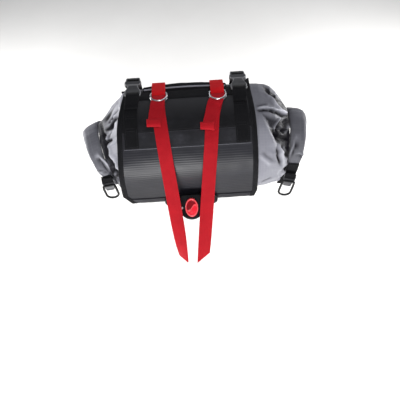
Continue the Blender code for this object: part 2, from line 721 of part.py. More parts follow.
def prism_mesh(name, outline, low, high):
    """A flat outline, raised from low to high."""
    body = bmesh.new()
    base = body.faces.new([body.verts.new((x, y, low)) for x, y in outline])
    if base.normal.z > 0:
        base.normal_flip()
    base.normal_update()
    raised = bmesh.ops.extrude_face_region(body, geom=[base])
    tops = [item for item in raised["geom"] if isinstance(item, bmesh.types.BMVert)]
    bmesh.ops.translate(body, vec=Vector((0.0, 0.0, high - low)), verts=tops)
    bmesh.ops.recalc_face_normals(body, faces=body.faces)
    mesh = bpy.data.meshes.new(name)
    body.to_mesh(mesh)
    body.free()
    return mesh


def rounded_outline(half_width, half_height, radius, steps=5):
    """A rectangle with round corners."""
    points = []
    for quarter, (sx, sy) in enumerate(((1, 1), (-1, 1), (-1, -1), (1, -1))):
        for step in range(steps + 1):
            angle = math.radians(90 * quarter + 90 * step / steps)
            points.append((sx * (half_width - radius) + radius * math.cos(angle),
                           sy * (half_height - radius) + radius * math.sin(angle)))
    return points


def tongue_outline(width, length, corner=0.006, steps=14):
    """A tongue: round at its lower end, with small corners at its upper one."""
    half = width / 2
    middle = -length / 2 + half
    points = []
    for step in range(steps + 1):
        angle = math.pi + math.pi * step / steps
        points.append((half * math.cos(angle), middle + half * math.sin(angle)))
    for side, first in ((1, 0.0), (-1, 90.0)):
        for step in range(4):
            angle = math.radians(first + 30 * step)
            points.append((side * (half - corner) + corner * math.cos(angle),
                           length / 2 - corner + corner * math.sin(angle)))
    return points


def oval_outline(width, length, count=24):
    angles = [2 * math.pi * step / count for step in range(count)]
    return [(width / 2 * math.cos(angle), length / 2 * math.sin(angle)) for angle in angles]


def make_bracket():
    """The plate on the cradle's foot, the housing on the plate, and the button in the housing."""
    plate_seat = seat_at(0.0, 0.0, Vector((0.0, -PLATE_FACE_BACK, -PLATE_MIDDLE_DROP)))
    outline = rounded_outline(PLATE_HALF_WIDTH, PLATE_HEIGHT / 2, PLATE_END_RADIUS)
    plate = place("bag_plate", prism_mesh("bag_plate", outline, -PLATE_THICKNESS, 0.0), BLACK_PLASTIC,
                  plate_seat)
    soften(plate, 0.0006)

    seat = seat_at(0.0, HOUSING_TILT, Vector((0.0, -HOUSING_FACE_BACK, -HOUSING_FACE_DROP)))
    tongue = tongue_outline(HOUSING_WIDTH, HOUSING_LENGTH)
    housing = place("bracket_housing", prism_mesh("bracket_housing", tongue, -HOUSING_DEPTH, 0.0),
                    BLACK_PLASTIC, seat)
    soften(housing, 0.0025, 2)
    room = 0.1
    behind = box_mesh("behind", (room, room, room),
                      (0.0, -PLATE_FACE_BACK - GAP + room / 2, -HOUSING_FACE_DROP))
    shape_with(housing, "DIFFERENCE", behind, Matrix.Identity(4))
    pocket_depth = BUTTON_DEPTH + BUTTON_TRAVEL + 2 * GAP
    pocket = oval_outline(BUTTON_WIDTH + 2 * GAP, BUTTON_LENGTH + 2 * GAP)
    shape_with(housing, "DIFFERENCE", prism_mesh("pocket", pocket, -pocket_depth, room / 10))

    button = place("release_button", prism_mesh("release_button", oval_outline(BUTTON_WIDTH, BUTTON_LENGTH),
                                                -BUTTON_DEPTH, BUTTON_PROUD), RED_PLASTIC, seat)
    soften(button, 0.0010, 2)
    dish = oval_outline(BUTTON_WIDTH * 0.74, BUTTON_LENGTH * 0.78)
    shape_with(button, "DIFFERENCE", prism_mesh("dish", dish, BUTTON_PROUD * 0.5, room / 10))

    screw_seat = seat @ Matrix.Translation((SCREW_X, 0.0, 0.0))
    head = oval_outline(2 * SCREW_RADIUS, 2 * SCREW_RADIUS, 12)
    place("housing_screw", prism_mesh("housing_screw", head, GAP, SCREW_RADIUS * 0.6), STEEL, screw_seat)


def make_end_hardware(label, side):
    """A webbing tab on the rolled mouth's rider end, a buckle in it and a D-ring in the buckle."""
    outward, up = direction(END_HANG_TURN)
    inset = side * (MOUTH_CLEARANCE + END_WEBBING_WIDTH / 2)
    hang, rise, lean = RIGHT_END_HANG, RIGHT_END_RISE, RIGHT_END_LEAN
    if side < 0:
        hang, rise, lean = LEFT_END_HANG, LEFT_END_RISE, LEFT_END_LEAN
    off = ROLL_THICKNESS / 2 + GAP + WEBBING_THICKNESS / 2
    foot_along = rise / arch_length(side)
    x = mouth_x(side, foot_along) + inset
    foot = arch_point(side, foot_along, off)
    bar = foot - up * hang + outward * (BEND_RADIUS + END_BUCKLE_CLEARANCE)
    bend = bend_points(bar, BEND_RADIUS, END_HANG_TURN, -90.0, -270.0)
    path = []
    for along in (0.20, 0.16, 0.12, 0.08, 0.04):
        higher = foot_along + along
        path.append(arch_point(side, higher, off) + Vector((mouth_x(side, higher) + inset, 0.0, 0.0)))
    hanging = [foot, foot - up * hang * 0.4] + bend
    hanging += [bar + outward * BEND_RADIUS + up * BEND_RADIUS * share for share in (1.5, 3.0)]
    tilt = Matrix.Rotation(math.radians(lean), 4, outward)
    swing = Matrix.Translation(foot) @ tilt @ Matrix.Translation(-foot)
    hanging = [swing @ point for point in hanging]
    across = swing.to_3x3() @ Vector((1.0, 0.0, 0.0))
    sides = [Vector((1.0, 0.0, 0.0))] * len(path) + [across] * len(hanging)
    ribbon("end_tab_" + label, path + shifted(hanging, x), END_WEBBING_WIDTH, WEBBING_THICKNESS,
           WEBBING_BLACK, sides)

    seat = Matrix.Translation((x, 0.0, 0.0)) @ swing @ seat_at(0.0, END_HANG_TURN, bar)
    top = BAR_SIZE / 2
    half, half_foot = END_BUCKLE_WIDTH / 2, END_BUCKLE_FOOT / 2
    shoulder = top - END_BUCKLE_LENGTH * 0.55
    bottom = top - END_BUCKLE_LENGTH
    outline = [(-half, top), (-half, shoulder), (-half_foot, shoulder - 0.004), (-half_foot, bottom),
               (half_foot, bottom), (half_foot, shoulder - 0.004), (half, shoulder), (half, top)]
    buckle = place("end_buckle_" + label, prism_mesh("end_buckle", outline, -END_BUCKLE_THICKNESS / 2,
                                                     END_BUCKLE_THICKNESS / 2), DARK_PLASTIC, seat)
    soften(buckle, 0.0010, 2)
    cut_slot(buckle, 0.0, -1, END_WEBBING_WIDTH)
    tunnel = RING_WIRE + 4 * GAP
    tunnel_middle = bottom + tunnel / 2 + 0.0018
    shape_with(buckle, "DIFFERENCE", box_mesh("tunnel", (0.05, tunnel, tunnel), (0.0, tunnel_middle, 0.0)))
    ring_seat = seat @ Matrix.Translation((0.0, tunnel_middle - RING_DEPTH / 2, 0.0))
    curve_tube("end_ring_" + label, ring_outline(END_RING_INNER_WIDTH, RING_DEPTH), RING_WIRE / 2,
               BLACK_STEEL, ring_seat)


for old in list(bpy.data.objects):
    bpy.data.objects.remove(old, do_unlink=True)
PARTS = fresh_collection("handlebar_bag")
CUTTERS = fresh_collection("cutters")
HOLDER = bpy.data.objects.new("bag_axis", None)
PARTS.objects.link(HOLDER)
HOLDER.location = AXIS

GREY_CLOTH = paint("grey_cloth", (0.34, 0.34, 0.38), 0.62)
BLACK_CLOTH = paint("black_cloth", (0.018, 0.018, 0.022), 0.75)
COATED_CLOTH = paint("coated_cloth", (0.045, 0.045, 0.052), 0.45)
WEBBING_BLACK = paint("black_webbing", (0.012, 0.012, 0.013), 0.85)
RED_WEBBING = paint("red_webbing", (0.56, 0.02, 0.03), 0.7)
DARK_PLASTIC = paint("dark_plastic", (0.07, 0.07, 0.075), 0.45)
BLACK_PLASTIC = paint("black_plastic", (0.012, 0.012, 0.013), 0.4)
RED_PLASTIC = paint("red_plastic", (0.62, 0.02, 0.04), 0.35)
STEEL = paint("steel", (0.72, 0.72, 0.72), 0.25, 1.0)
BLACK_STEEL = paint("black_steel", (0.02, 0.02, 0.02), 0.35, 0.6)

make_dry_bag()
make_roll("roll_left", -1)
make_roll("roll_right", 1)
make_cradle()
make_panels()
make_bindings()
make_rim()
make_webbing()
for LABEL, SIDE in (("left", -1), ("right", 1)):
    make_buckle("buckle_" + LABEL, SIDE * SIDE_WEBBING_X)
    make_ring_and_loop(LABEL, SIDE)
    make_red_strap(LABEL, SIDE)
    make_end_hardware(LABEL, SIDE)
make_bracket()
bpy.context.view_layer.update()
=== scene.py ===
"""The looks of a bicycle handlebar bag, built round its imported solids.

The rider's side is -Y, the front is +Y, right is +X and up is +Z, in metres. A place on the bag is given by
its X, its turn (degrees from the rider's side, up over the top) and its lift off the cradle's cloth.
"""
import math

import bmesh
import bpy
from mathutils import Matrix, Vector, noise


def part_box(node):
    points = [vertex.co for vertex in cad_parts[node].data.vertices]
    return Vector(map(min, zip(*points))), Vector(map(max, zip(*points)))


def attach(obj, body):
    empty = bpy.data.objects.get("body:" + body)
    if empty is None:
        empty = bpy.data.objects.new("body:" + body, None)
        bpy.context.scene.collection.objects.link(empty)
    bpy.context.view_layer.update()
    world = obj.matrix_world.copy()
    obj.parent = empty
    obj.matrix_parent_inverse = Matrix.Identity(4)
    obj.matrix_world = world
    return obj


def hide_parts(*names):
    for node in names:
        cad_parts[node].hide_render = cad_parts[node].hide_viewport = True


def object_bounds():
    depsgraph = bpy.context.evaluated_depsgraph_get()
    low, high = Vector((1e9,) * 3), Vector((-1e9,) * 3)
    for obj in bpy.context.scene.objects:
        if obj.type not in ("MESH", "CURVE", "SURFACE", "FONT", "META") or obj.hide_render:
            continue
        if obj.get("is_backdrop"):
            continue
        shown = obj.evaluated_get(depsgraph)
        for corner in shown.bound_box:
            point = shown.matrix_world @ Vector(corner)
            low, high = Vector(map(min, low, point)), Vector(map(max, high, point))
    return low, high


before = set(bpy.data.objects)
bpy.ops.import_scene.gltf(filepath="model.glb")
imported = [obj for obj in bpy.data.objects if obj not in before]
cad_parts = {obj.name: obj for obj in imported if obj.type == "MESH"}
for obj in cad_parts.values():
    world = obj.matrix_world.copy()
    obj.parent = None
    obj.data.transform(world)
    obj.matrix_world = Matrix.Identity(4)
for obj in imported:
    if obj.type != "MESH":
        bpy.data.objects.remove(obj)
SOLID_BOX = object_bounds()

# The two sides, and the key by which a size that differs between them is kept
SIDES = (("left", -1), ("right", 1))

# Sizes of the solids that the cloth follows
GAP = 0.0003
BAG_RADIUS = 0.101
BAG_WALL = 0.0012
CRADLE_WALL = 0.0022
WRAP_RADIUS = BAG_RADIUS + GAP + CRADLE_WALL
AXIS = Vector((0.0, 0.1086, 0.0575))
CRADLE_HALF_WIDTH = (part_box("cradle")[1][0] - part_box("cradle")[0][0]) / 2
CORNER_TURN = -30.9
CORNER_ROUND = 0.985
RIDER_TOP_TURN = 119.0
FRONT_TOP_TURN = -210.0
CORNER_CUT = {-1: 0.016, 1: 0.006}
BULGE = {-1: 0.0036, 1: 0.0}
CORNER_CUT_SPAN = 10.0
TOP_NARROWING = {-1: 0.0115, 1: 0.004}
FLARE_HEIGHT = 0.012
FLARE_WIDTH = 0.019
PANEL_THICKNESS = 0.0018
MIDDLE_PANEL_THICKNESS = 0.0012
LINE_A_TURN = 57.0
LINE_B_TURN = 41.0
PANEL_TOP_TURN = 108.0
BINDING_WIDTH = 0.0095
BINDING_THICKNESS = 0.0012
STRIP_HEIGHT_TURN = 4.6
STRIP_THICKNESS = 0.0015
WEBBING_WIDTH = 0.025
WEBBING_THICKNESS = 0.0015
SIDE_WEBBING_X = CRADLE_HALF_WIDTH - 0.026
TOP_WEBBING_TURN = 93.5
FRONT_WEBBING_END_TURN = 188.0
RIM_HALF_LENGTH = 0.080
RIM_TURN = 112.0
RIM_WIDTH = 0.0125
RIM_END_HEIGHT = 0.0082
RIM_ARCH = 0.0058
# The light grey tube that paints the rim's highlight: its radius and its place across the rim
PAINTED_LINE_RADIUS = 0.0015
PAINTED_LINE_ALONG = -0.0053
BUCKLE_TURN = 117.0
BUCKLE_LIFT = 0.0074
BUCKLE_LENGTH = 0.0483
BAR_SIZE = 0.0024
BAR_ALONG = BUCKLE_LENGTH / 2 - BAR_SIZE / 2
RING_WIRE = 0.0033
STRAP_X = 0.053
RING_X = {-1: 0.0485, 1: 0.0605}
BAR_TURN = {-1: 98.0, 1: 96.0}
RING_HALF = 0.0148
RING_SPAN = 0.0205
STRAP_SWING_LENGTH = 0.050
WEBBING_LIFT = GAP + PANEL_THICKNESS + GAP
STRAP_LIFT = WEBBING_LIFT + WEBBING_THICKNESS + GAP
RING_LIFT = STRAP_LIFT + WEBBING_THICKNESS + GAP + RING_WIRE / 2
BEND_RADIUS = BAR_SIZE * 0.71 + GAP + WEBBING_THICKNESS / 2
RING_BEND_RADIUS = RING_WIRE / 2 + 2 * GAP + WEBBING_THICKNESS / 2

# The photograph's view: degrees, metres and millimetres, and where the bag's middle lies in the picture
IMAGE_SIDE = 400
VIEW_AZIMUTH = 0.5
VIEW_ELEVATION = 48.2
VIEW_ROLL = -3.9
VIEW_DISTANCE = 1.271
LENS = 58.0
SENSOR = 36.0
MIDDLE_IN_IMAGE = (187.7, 138.6)
FLOOR_Z = -0.62


# Materials

# The specular level that a material starts from
SHINE = 0.25

# Where a painted sheen lightens the upper panel towards its top edge: from one place along the wrap to another, in
# metres
PAINTED_SHEEN_PLACES = (0.124, 0.162)


def configured(thing, **settings):
    for name, value in settings.items():
        setattr(thing, name, value)
    return thing


def scaled_colour(colour, share):
    return tuple(share * value for value in colour)


class Shade:
    """Builds one procedural material, node by node."""

    def __init__(self, name, roughness=0.6, metallic=0.0):
        self.material = bpy.data.materials.new(name)
        self.material.use_nodes = True
        self.tree = self.material.node_tree
        self.surface = self.tree.nodes["Principled BSDF"]
        self.set(self.surface, Roughness=roughness, Metallic=metallic)
        self.surface.inputs["Specular IOR Level"].default_value = SHINE

    def set(self, node, **values):
        for name, value in values.items():
            node.inputs[name.replace("_", " ")].default_value = value

    def link(self, source, target):
        self.tree.links.new(source, target)

    def feed(self, socket, value):
        """Links another node's output to a socket, or sets the socket to a number or a colour."""
        if isinstance(value, bpy.types.NodeSocket):
            self.link(value, socket)
        else:
            socket.default_value = (*value, 1.0) if isinstance(value, tuple) else value

    def node(self, kind, **settings):
        return configured(self.tree.nodes.new(kind), **settings)

    def math(self, operation, first, second=0.0, third=0.0):
        made = self.node("ShaderNodeMath", operation=operation)
        for socket, value in zip(made.inputs, (first, second, third)):
            self.feed(socket, value)
        return made.outputs[0]

    def place(self, flat=True):
        """Along-cloth coordinates in metres, or object coordinates."""
        return self.node("ShaderNodeTexCoord").outputs["UV" if flat else "Object"]

    def parts(self, vector):
        split = self.node("ShaderNodeSeparateXYZ")
        self.link(vector, split.inputs[0])
        return split.outputs

    def noise(self, scale, detail=4.0, roughness=0.55, vector=None, stretch=None):
        vector = vector if vector is not None else self.place(flat=False)
        if stretch is not None:
            mapping = self.node("ShaderNodeMapping")
            mapping.inputs["Scale"].default_value = stretch
            self.link(vector, mapping.inputs["Vector"])
            vector = mapping.outputs[0]
        made = self.node("ShaderNodeTexNoise")
        self.set(made, Scale=scale, Detail=detail, Roughness=roughness)
        self.link(vector, made.inputs["Vector"])
        return made.outputs["Fac"]

    def ramp(self, value, stops, tone=1.0):
        """Colours along a value: stops are places and colours, and tone scales their brightness."""
        made = self.node("ShaderNodeValToRGB")
        made.color_ramp.elements.remove(made.color_ramp.elements[0])
        made.color_ramp.elements[0].position = stops[0][0]
        made.color_ramp.elements[0].color = (*scaled_colour(stops[0][1], tone), 1.0)
        for position, colour in stops[1:]:
            made.color_ramp.elements.new(position).color = (*scaled_colour(colour, tone), 1.0)
        self.link(value, made.inputs[0])
        return made.outputs[0]

    def scaled(self, value, low, high, from_low=0.3, from_high=0.7):
        made = self.node("ShaderNodeMapRange")
        self.link(value, made.inputs["Value"])
        self.set(made, From_Min=from_low, From_Max=from_high, To_Min=low, To_Max=high)
        return made.outputs[0]

    def mix(self, first, second, share):
        made = self.node("ShaderNodeMix", data_type="RGBA")
        for socket, value in zip((made.inputs[6], made.inputs[7], made.inputs[0]), (first, second, share)):
            self.feed(socket, value)
        return made.outputs[2]

    def bump(self, layers):
        """Stacks bumps: (height, distance in metres, strength)."""
        normal = None
        for height, distance, strength in layers:
            made = self.node("ShaderNodeBump")
            made.inputs["Distance"].default_value = distance
            made.inputs["Strength"].default_value = strength
            self.link(height, made.inputs["Height"])
            if normal is not None:
                self.link(normal, made.inputs["Normal"])
            normal = made.outputs[0]
        self.link(normal, self.surface.inputs["Normal"])

    def colour(self, socket):
        self.link(socket, self.surface.inputs["Base Color"])

    def with_painted_light(self, socket, dark, bright):
        """Mixes in the painted shade of creases and recesses and the painted highlights of ridges and edges that the
        points carry.
        """
        painted_light = self.node("ShaderNodeAttribute", attribute_name="painted_light").outputs["Fac"]
        socket = self.mix(socket, dark, self.scaled(painted_light, 1.0, 0.0, 0.0, 0.5))
        return self.mix(socket, bright, self.scaled(painted_light, 0.0, 1.0, 0.5, 1.0))

    def rough(self, socket):
        self.link(socket, self.surface.inputs["Roughness"])


def wave(shade, along, pitch):
    """A round rib for each pitch: 0 in the valleys, 1 on the ribs."""
    turned = shade.math("MULTIPLY", along, 2 * math.pi / pitch)
    return shade.math("MULTIPLY_ADD", shade.math("SINE", turned), 0.5, 0.5)


def weave(shade, across, along, pitch):
    """Plain weave: ribs that swap between the two ways."""
    first, second = wave(shade, across, pitch), wave(shade, along, pitch)
    swap = shade.math("MULTIPLY", shade.math("SUBTRACT", first, 0.5), shade.math("SUBTRACT", second, 0.5))
    return shade.math("MULTIPLY_ADD", swap, 2.0, 0.5)


def webbing_material(name, dark, light, roughness=0.72):
    """Woven tape: ribs across it, a herringbone of threads and two tight selvedges."""
    shade = Shade(name, roughness)
    across, along, _ = shade.parts(shade.place())
    rib = wave(shade, along, 0.0022)
    lean = shade.math("PINGPONG", across, 0.0031)
    thread = wave(shade, shade.math("ADD", along, lean), 0.0011)
    edge = shade.math("GREATER_THAN", shade.math("ABSOLUTE", across), WEBBING_WIDTH / 2 - 0.0016)
    height = shade.math("MULTIPLY_ADD", thread, 0.5, shade.math("MULTIPLY", rib, 0.5))
    height = shade.math("MULTIPLY_ADD", edge, 0.35, height)
    fade = shade.noise(38.0, 5.0, 0.6)
    fuzz = shade.noise(900.0, 3.0, 0.6)
    colour = shade.mix(dark, light, shade.scaled(fade, 0.15, 0.85))
    # Painted shade: darker where the weave lies low
    sunk = shade.math("MULTIPLY_ADD", height, -0.45, 0.42)
    colour = shade.mix(colour, scaled_colour(dark, 0.55), sunk)
    shade.colour(colour)
    shade.rough(shade.scaled(fade, roughness - 0.06, roughness + 0.1))
    shade.bump([(height, 0.0005, 0.75), (fuzz, 0.0003, 0.25)])
    shade.set(shade.surface, Sheen_Weight=0.03, Sheen_Roughness=0.5, Specular_IOR_Level=0.12)
    return shade.material


def grey_cloth_material(name, tone):
    """Light coated ripstop: a grid of thicker threads, crumple and dust. tone scales its brightness."""
    shade = Shade(name, 0.5)
    across, along, _ = shade.parts(shade.place())
    cells = [shade.math("GREATER_THAN", wave(shade, way, 0.0055), 0.965) for way in (across, along)]
    grid = shade.math("MAXIMUM", *cells)
    threads = weave(shade, across, along, 0.0009)
    crumple = shade.noise(60.0, 6.0, 0.62)
    stains = shade.noise(11.0, 5.0, 0.6)
    colour = shade.ramp(stains, [(0.30, (0.235, 0.235, 0.272)), (0.52, (0.285, 0.285, 0.325)),
                                 (0.72, (0.330, 0.332, 0.370))], tone)
    colour = shade.mix(colour, (0.40, 0.40, 0.43), shade.math("MULTIPLY", grid, 0.16 * tone))
    # Painted shade in the creases and painted highlights on the ridges, as the points carry them
    shade.colour(shade.with_painted_light(colour, (0.006, 0.005, 0.009), (0.62, 0.62, 0.68)))
    shade.rough(shade.scaled(crumple, 0.42, 0.62))
    shade.bump([(crumple, 0.0022, 0.35), (threads, 0.0003, 0.4), (grid, 0.0003, 0.35)])
    shade.set(shade.surface, Sheen_Weight=0.08, Sheen_Roughness=0.4)
    return shade.material


def black_cloth_material(name, tone):
    """Black woven nylon with a dusty bloom, and lighter towards the top edge with a painted sheen. tone scales its
    brightness.
    """
    shade = Shade(name, 0.68)
    across, along, _ = shade.parts(shade.place())
    threads = weave(shade, across, along, 0.0012)
    bloom = shade.noise(26.0, 6.0, 0.65)
    crumple = shade.noise(90.0, 4.0, 0.5)
    colour = shade.ramp(bloom, [(0.30, (0.005, 0.005, 0.006)), (0.55, (0.011, 0.011, 0.013)),
                                (0.75, (0.021, 0.021, 0.025))], tone)
    # Painted sheen: lighter towards the top edge, from one place along the wrap to the other
    shade.colour(shade.mix(colour, (0.046, 0.046, 0.050), shade.scaled(along, 0.0, 0.75, *PAINTED_SHEEN_PLACES)))
    shade.rough(shade.scaled(bloom, 0.58, 0.80))
    shade.bump([(crumple, 0.0012, 0.3), (threads, 0.0004, 0.6)])
    shade.set(shade.surface, Sheen_Weight=0.03, Sheen_Roughness=0.45, Specular_IOR_Level=0.15)
    return shade.material


def coated_cloth_material():
    """The charcoal lower panel: coated cloth with fine ribs along the bag and a soft shine."""
    shade = Shade("charcoal_coated", 0.42)
    _, along, _ = shade.parts(shade.place())
    wander = shade.math("MULTIPLY_ADD", shade.noise(30.0, 2.0, 0.5), 0.0016, along)
    rib = wave(shade, wander, 0.0046)
    bloom = shade.noise(18.0, 6.0, 0.62, stretch=(0.35, 1.0, 1.0))
    grain = shade.noise(700.0, 3.0, 0.6)
    colour = shade.ramp(bloom, [(0.28, (0.011, 0.011, 0.015)), (0.50, (0.018, 0.018, 0.025)),
                                (0.75, (0.029, 0.030, 0.041))])
    # Painted shade: darker in the valleys between the ribs
    colour = shade.mix(colour, (0.005, 0.005, 0.007), shade.math("MULTIPLY_ADD", rib, -0.34, 0.40))
    shade.colour(colour)
    shade.rough(shade.scaled(bloom, 0.38, 0.50))
    shade.set(shade.surface, Specular_IOR_Level=0.32)
    shade.bump([(rib, 0.0006, 0.22), (grain, 0.0003, 0.2)])
    return shade.material


def plastic_material(name, dark, light, roughness, grain=1400.0, bright=None, shine=0.3):
    """Moulded plastic: fine spark texture, handling marks and dust. bright: the colour of the painted highlights on
    its edges and raised parts; with it comes painted shade in its slots and recesses.
    """
    shade = Shade(name, roughness)
    dust = shade.noise(55.0, 6.0, 0.65)
    spark = shade.noise(grain, 2.0, 0.5)
    marks = shade.noise(300.0, 3.0, 0.6, stretch=(1.0, 0.08, 1.0))
    colour = shade.mix(dark, light, shade.scaled(dust, 0.0, 0.9))
    if bright is not None:
        colour = shade.with_painted_light(colour, scaled_colour(dark, 0.08), bright)
    shade.colour(colour)
    shade.rough(shade.scaled(dust, roughness - 0.06, roughness + 0.12))
    shade.bump([(marks, 0.0002, 0.12), (spark, 0.0002, 0.35)])
    shade.set(shade.surface, Specular_IOR_Level=shine)
    return shade.material


def metal_material(name, colour, roughness, metallic=1.0):
    """Plated or lacquered wire with fine draw marks."""
    shade = Shade(name, roughness, metallic)
    tarnish = shade.noise(140.0, 5.0, 0.6)
    drawn = shade.noise(900.0, 2.0, 0.5, stretch=(0.15, 1.0, 1.0))
    shade.colour(shade.mix(scaled_colour(colour, 0.55), colour, shade.scaled(tarnish, 0.25, 1.0)))
    shade.rough(shade.scaled(tarnish, roughness - 0.06, roughness + 0.14))
    shade.bump([(drawn, 0.0001, 0.25)])
    return shade.material


def thread_material(name, colour):
    shade = Shade(name, 0.75)
    twist = shade.noise(2600.0, 2.0, 0.5)
    shade.colour(shade.mix(scaled_colour(colour, 0.6), colour, shade.scaled(twist, 0.2, 1.0)))
    shade.bump([(twist, 0.0002, 0.5)])
    return shade.material


GREY_CLOTH = grey_cloth_material("grey_ripstop", 1.0)
ROLL_CLOTH = grey_cloth_material("roll_ripstop", 0.55)
# A lighter copy of the grey cloth for thin lines that paint light: painted highlights along the rim and below line
# B, and, made near black by their painted shade, painted shadow lines
PAINTED_LINE = grey_cloth_material("painted_line_cloth", 1.10)
BLACK_CLOTH = black_cloth_material("black_nylon", 1.0)
MIDDLE_CLOTH = black_cloth_material("middle_nylon", 2.2)
COATED_CLOTH = coated_cloth_material()
BLACK_WEBBING = webbing_material("black_webbing_weave", (0.004, 0.004, 0.005), (0.013, 0.013, 0.015))
RED_WEBBING = webbing_material("red_webbing_weave", (0.44, 0.004, 0.012), (0.60, 0.012, 0.022), 0.62)
# A lighter copy of the red webbing for the loops, whose upward faces catch little light: painted light
LIT_LOOP_WEBBING = webbing_material("lit_red_loop_weave", (0.66, 0.006, 0.012), (0.86, 0.014, 0.020), 0.62)
DARK_PLASTIC = plastic_material("buckle_plastic", (0.080, 0.080, 0.085), (0.120, 0.120, 0.128), 0.30,
                                bright=(0.42, 0.42, 0.44))
# A copy of the buckle plastic whose tone is set apart for how light falls on the top buckles' upward faces: painted
# light
BUCKLE_PLASTIC = plastic_material("top_buckle_plastic", (0.050, 0.050, 0.053), (0.085, 0.085, 0.090), 0.36,
                                  bright=(0.60, 0.60, 0.62), shine=0.15)
BLACK_PLASTIC = plastic_material("housing_plastic", (0.003, 0.003, 0.004), (0.010, 0.010, 0.012), 0.36,
                                 shine=0.12)
RED_PLASTIC = plastic_material("button_plastic", (0.80, 0.012, 0.030), (0.92, 0.022, 0.044), 0.20, 2400.0,
                               (0.85, 0.26, 0.26))
STEEL = metal_material("nickel_wire", (0.74, 0.74, 0.76), 0.26)
BLACK_STEEL = metal_material("lacquered_wire", (0.008, 0.008, 0.009), 0.30, 0.0)
BLACK_THREAD = thread_material("black_thread", (0.030, 0.030, 0.034))


# Places on the bag

def sideways(x):
    return Vector((x, 0.0, 0.0))


def direction(turn):
    """Outward and onward directions across the bag at a turn."""
    angle = math.radians(turn)
    return Vector((0.0, -math.cos(angle), math.sin(angle))), Vector((0.0, math.sin(angle), math.cos(angle)))


def wrap_radius(turn, lift):
    """Distance from the bag's axis: round the bag, and out along two flats to the bottom corner."""
    radius = WRAP_RADIUS + lift
    if not 2 * CORNER_TURN < turn < 0.0:
        return radius
    nearest = 0.0 if turn > CORNER_TURN else 2 * CORNER_TURN
    corner = radius / math.cos(math.radians(CORNER_TURN))
    return min(radius / math.cos(math.radians(turn - nearest)), CORNER_ROUND * corner)


def bell(value, middle, spread):
    return math.exp(-((value - middle) / spread) ** 2)


def clamped(value):
    return min(1.0, max(0.0, value))


def smooth(value, low, high):
    """0 below low and 1 above high, with an even ease between."""
    share = clamped((value - low) / (high - low))
    return share * share * (3 - 2 * share)


def relief(x, turn):
    """How far the cradle's cloth stands off its even form: slack, puckers at seams and at the bottom corner, and
    wavy side edges.
    """
    place = Vector((x * 14, turn * 0.028, 0.3))
    slack = 0.0011 * noise.noise(place) + 0.0005 * noise.noise(place * 2.7)
    near_line = bell(turn, LINE_B_TURN, 5.0) + 0.8 * bell(turn, LINE_A_TURN, 4.0)
    near_line += 0.7 * bell(turn, CORNER_TURN, 6.0)
    pucker = 0.00045 * near_line * noise.noise(Vector((x * 120, turn * 0.08, 4.0)))
    edge = smooth(abs(x), 0.100, CRADLE_HALF_WIDTH)
    wavy_edge = 0.0010 * edge * noise.noise(Vector((x * 8, turn * 0.11, 9.0)))
    quiet = 1 - bell(turn, BUCKLE_TURN, 16.0) * bell(abs(x), SIDE_WEBBING_X, 0.030)
    quiet *= 1 - bell(turn, 0.0, 16.0) * bell(x, 0.0, 0.075)
    return max(-0.0002, (slack + 0.0006 + pucker + wavy_edge)) * quiet


def flare(x, turn):
    """The cradle's right top corner stands off."""
    edge = CRADLE_HALF_WIDTH - TOP_NARROWING[1]
    if turn < 90.0:
        return 0.0
    beside_edge = smooth(x, edge - FLARE_WIDTH, edge + 0.002)
    return FLARE_HEIGHT * beside_edge * smooth(turn, 98.0, RIDER_TOP_TURN + 3.0)


def on_wrap(x, turn, lift):
    outward, _ = direction(turn)
    reach = wrap_radius(turn, lift) + relief(x, turn) + flare(x, turn)
    return AXIS + sideways(x) + outward * reach


def beside(x, turn, along, lift):
    """A point beside a turn: along the tangent and off the cloth."""
    outward, onward = direction(turn)
    return AXIS + sideways(x) + outward * (WRAP_RADIUS + lift) + onward * along


# Meshes

def added(name, data):
    """A new object in the scene."""
    item = bpy.data.objects.new(name, data)
    bpy.context.scene.collection.objects.link(item)
    return item


def new_piece(name, points, faces, uvs, material, body="bag"):
    """A mesh object from lists, with uvs per point, that rides on a body."""
    mesh = bpy.data.meshes.new(name)
    mesh.from_pydata([tuple(point) for point in points], [], faces)
    layer = mesh.uv_layers.new(name="cloth")
    for loop in mesh.loops:
        layer.data[loop.index].uv = uvs[loop.vertex_index]
    shell = bmesh.new()
    shell.from_mesh(mesh)
    bmesh.ops.recalc_face_normals(shell, faces=shell.faces)
    shell.to_mesh(mesh)
    shell.free()
    mesh.shade_smooth()
    mesh.materials.append(material)
    item = added(name, mesh)
    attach(item, body)
    return item


def add_painted_light(item, values):
    """The painted light at each point: painted shade towards 0, painted highlight towards 1; 0.5 leaves the cloth as
    it is.
    """
    layer = item.data.attributes.new("painted_light", "FLOAT", "POINT")
    layer.data.foreach_set("value", values)


def dress(slot, node):
    """Hides the node that a piece replaces; slot is not used."""
    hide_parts(node)


def ring_faces(rows, around, closed=False):
    """Faces between rings of points, ring after ring; closed where the last ring meets the first."""
    faces = []
    for row in range(rows if closed else rows - 1):
        here, beyond = row * around, (row + 1) % rows * around
        for step in range(around):
            after = (step + 1) % around
            faces.append((here + step, here + after, beyond + after, beyond + step))
    return faces


def eased(low, high, step, borders=(0.0004, 0.0012, 0.0024)):
    """Places from low to high, close together at both ends so that edges can round off."""
    first = [low + inset for inset in (0.0, *borders)]
    last = [high - inset for inset in (*reversed(borders), 0.0)]
    count = max(1, round((last[0] - first[-1]) / step))
    between = [first[-1] + (last[0] - first[-1]) * index / count for index in range(1, count)]
    return first + between + last


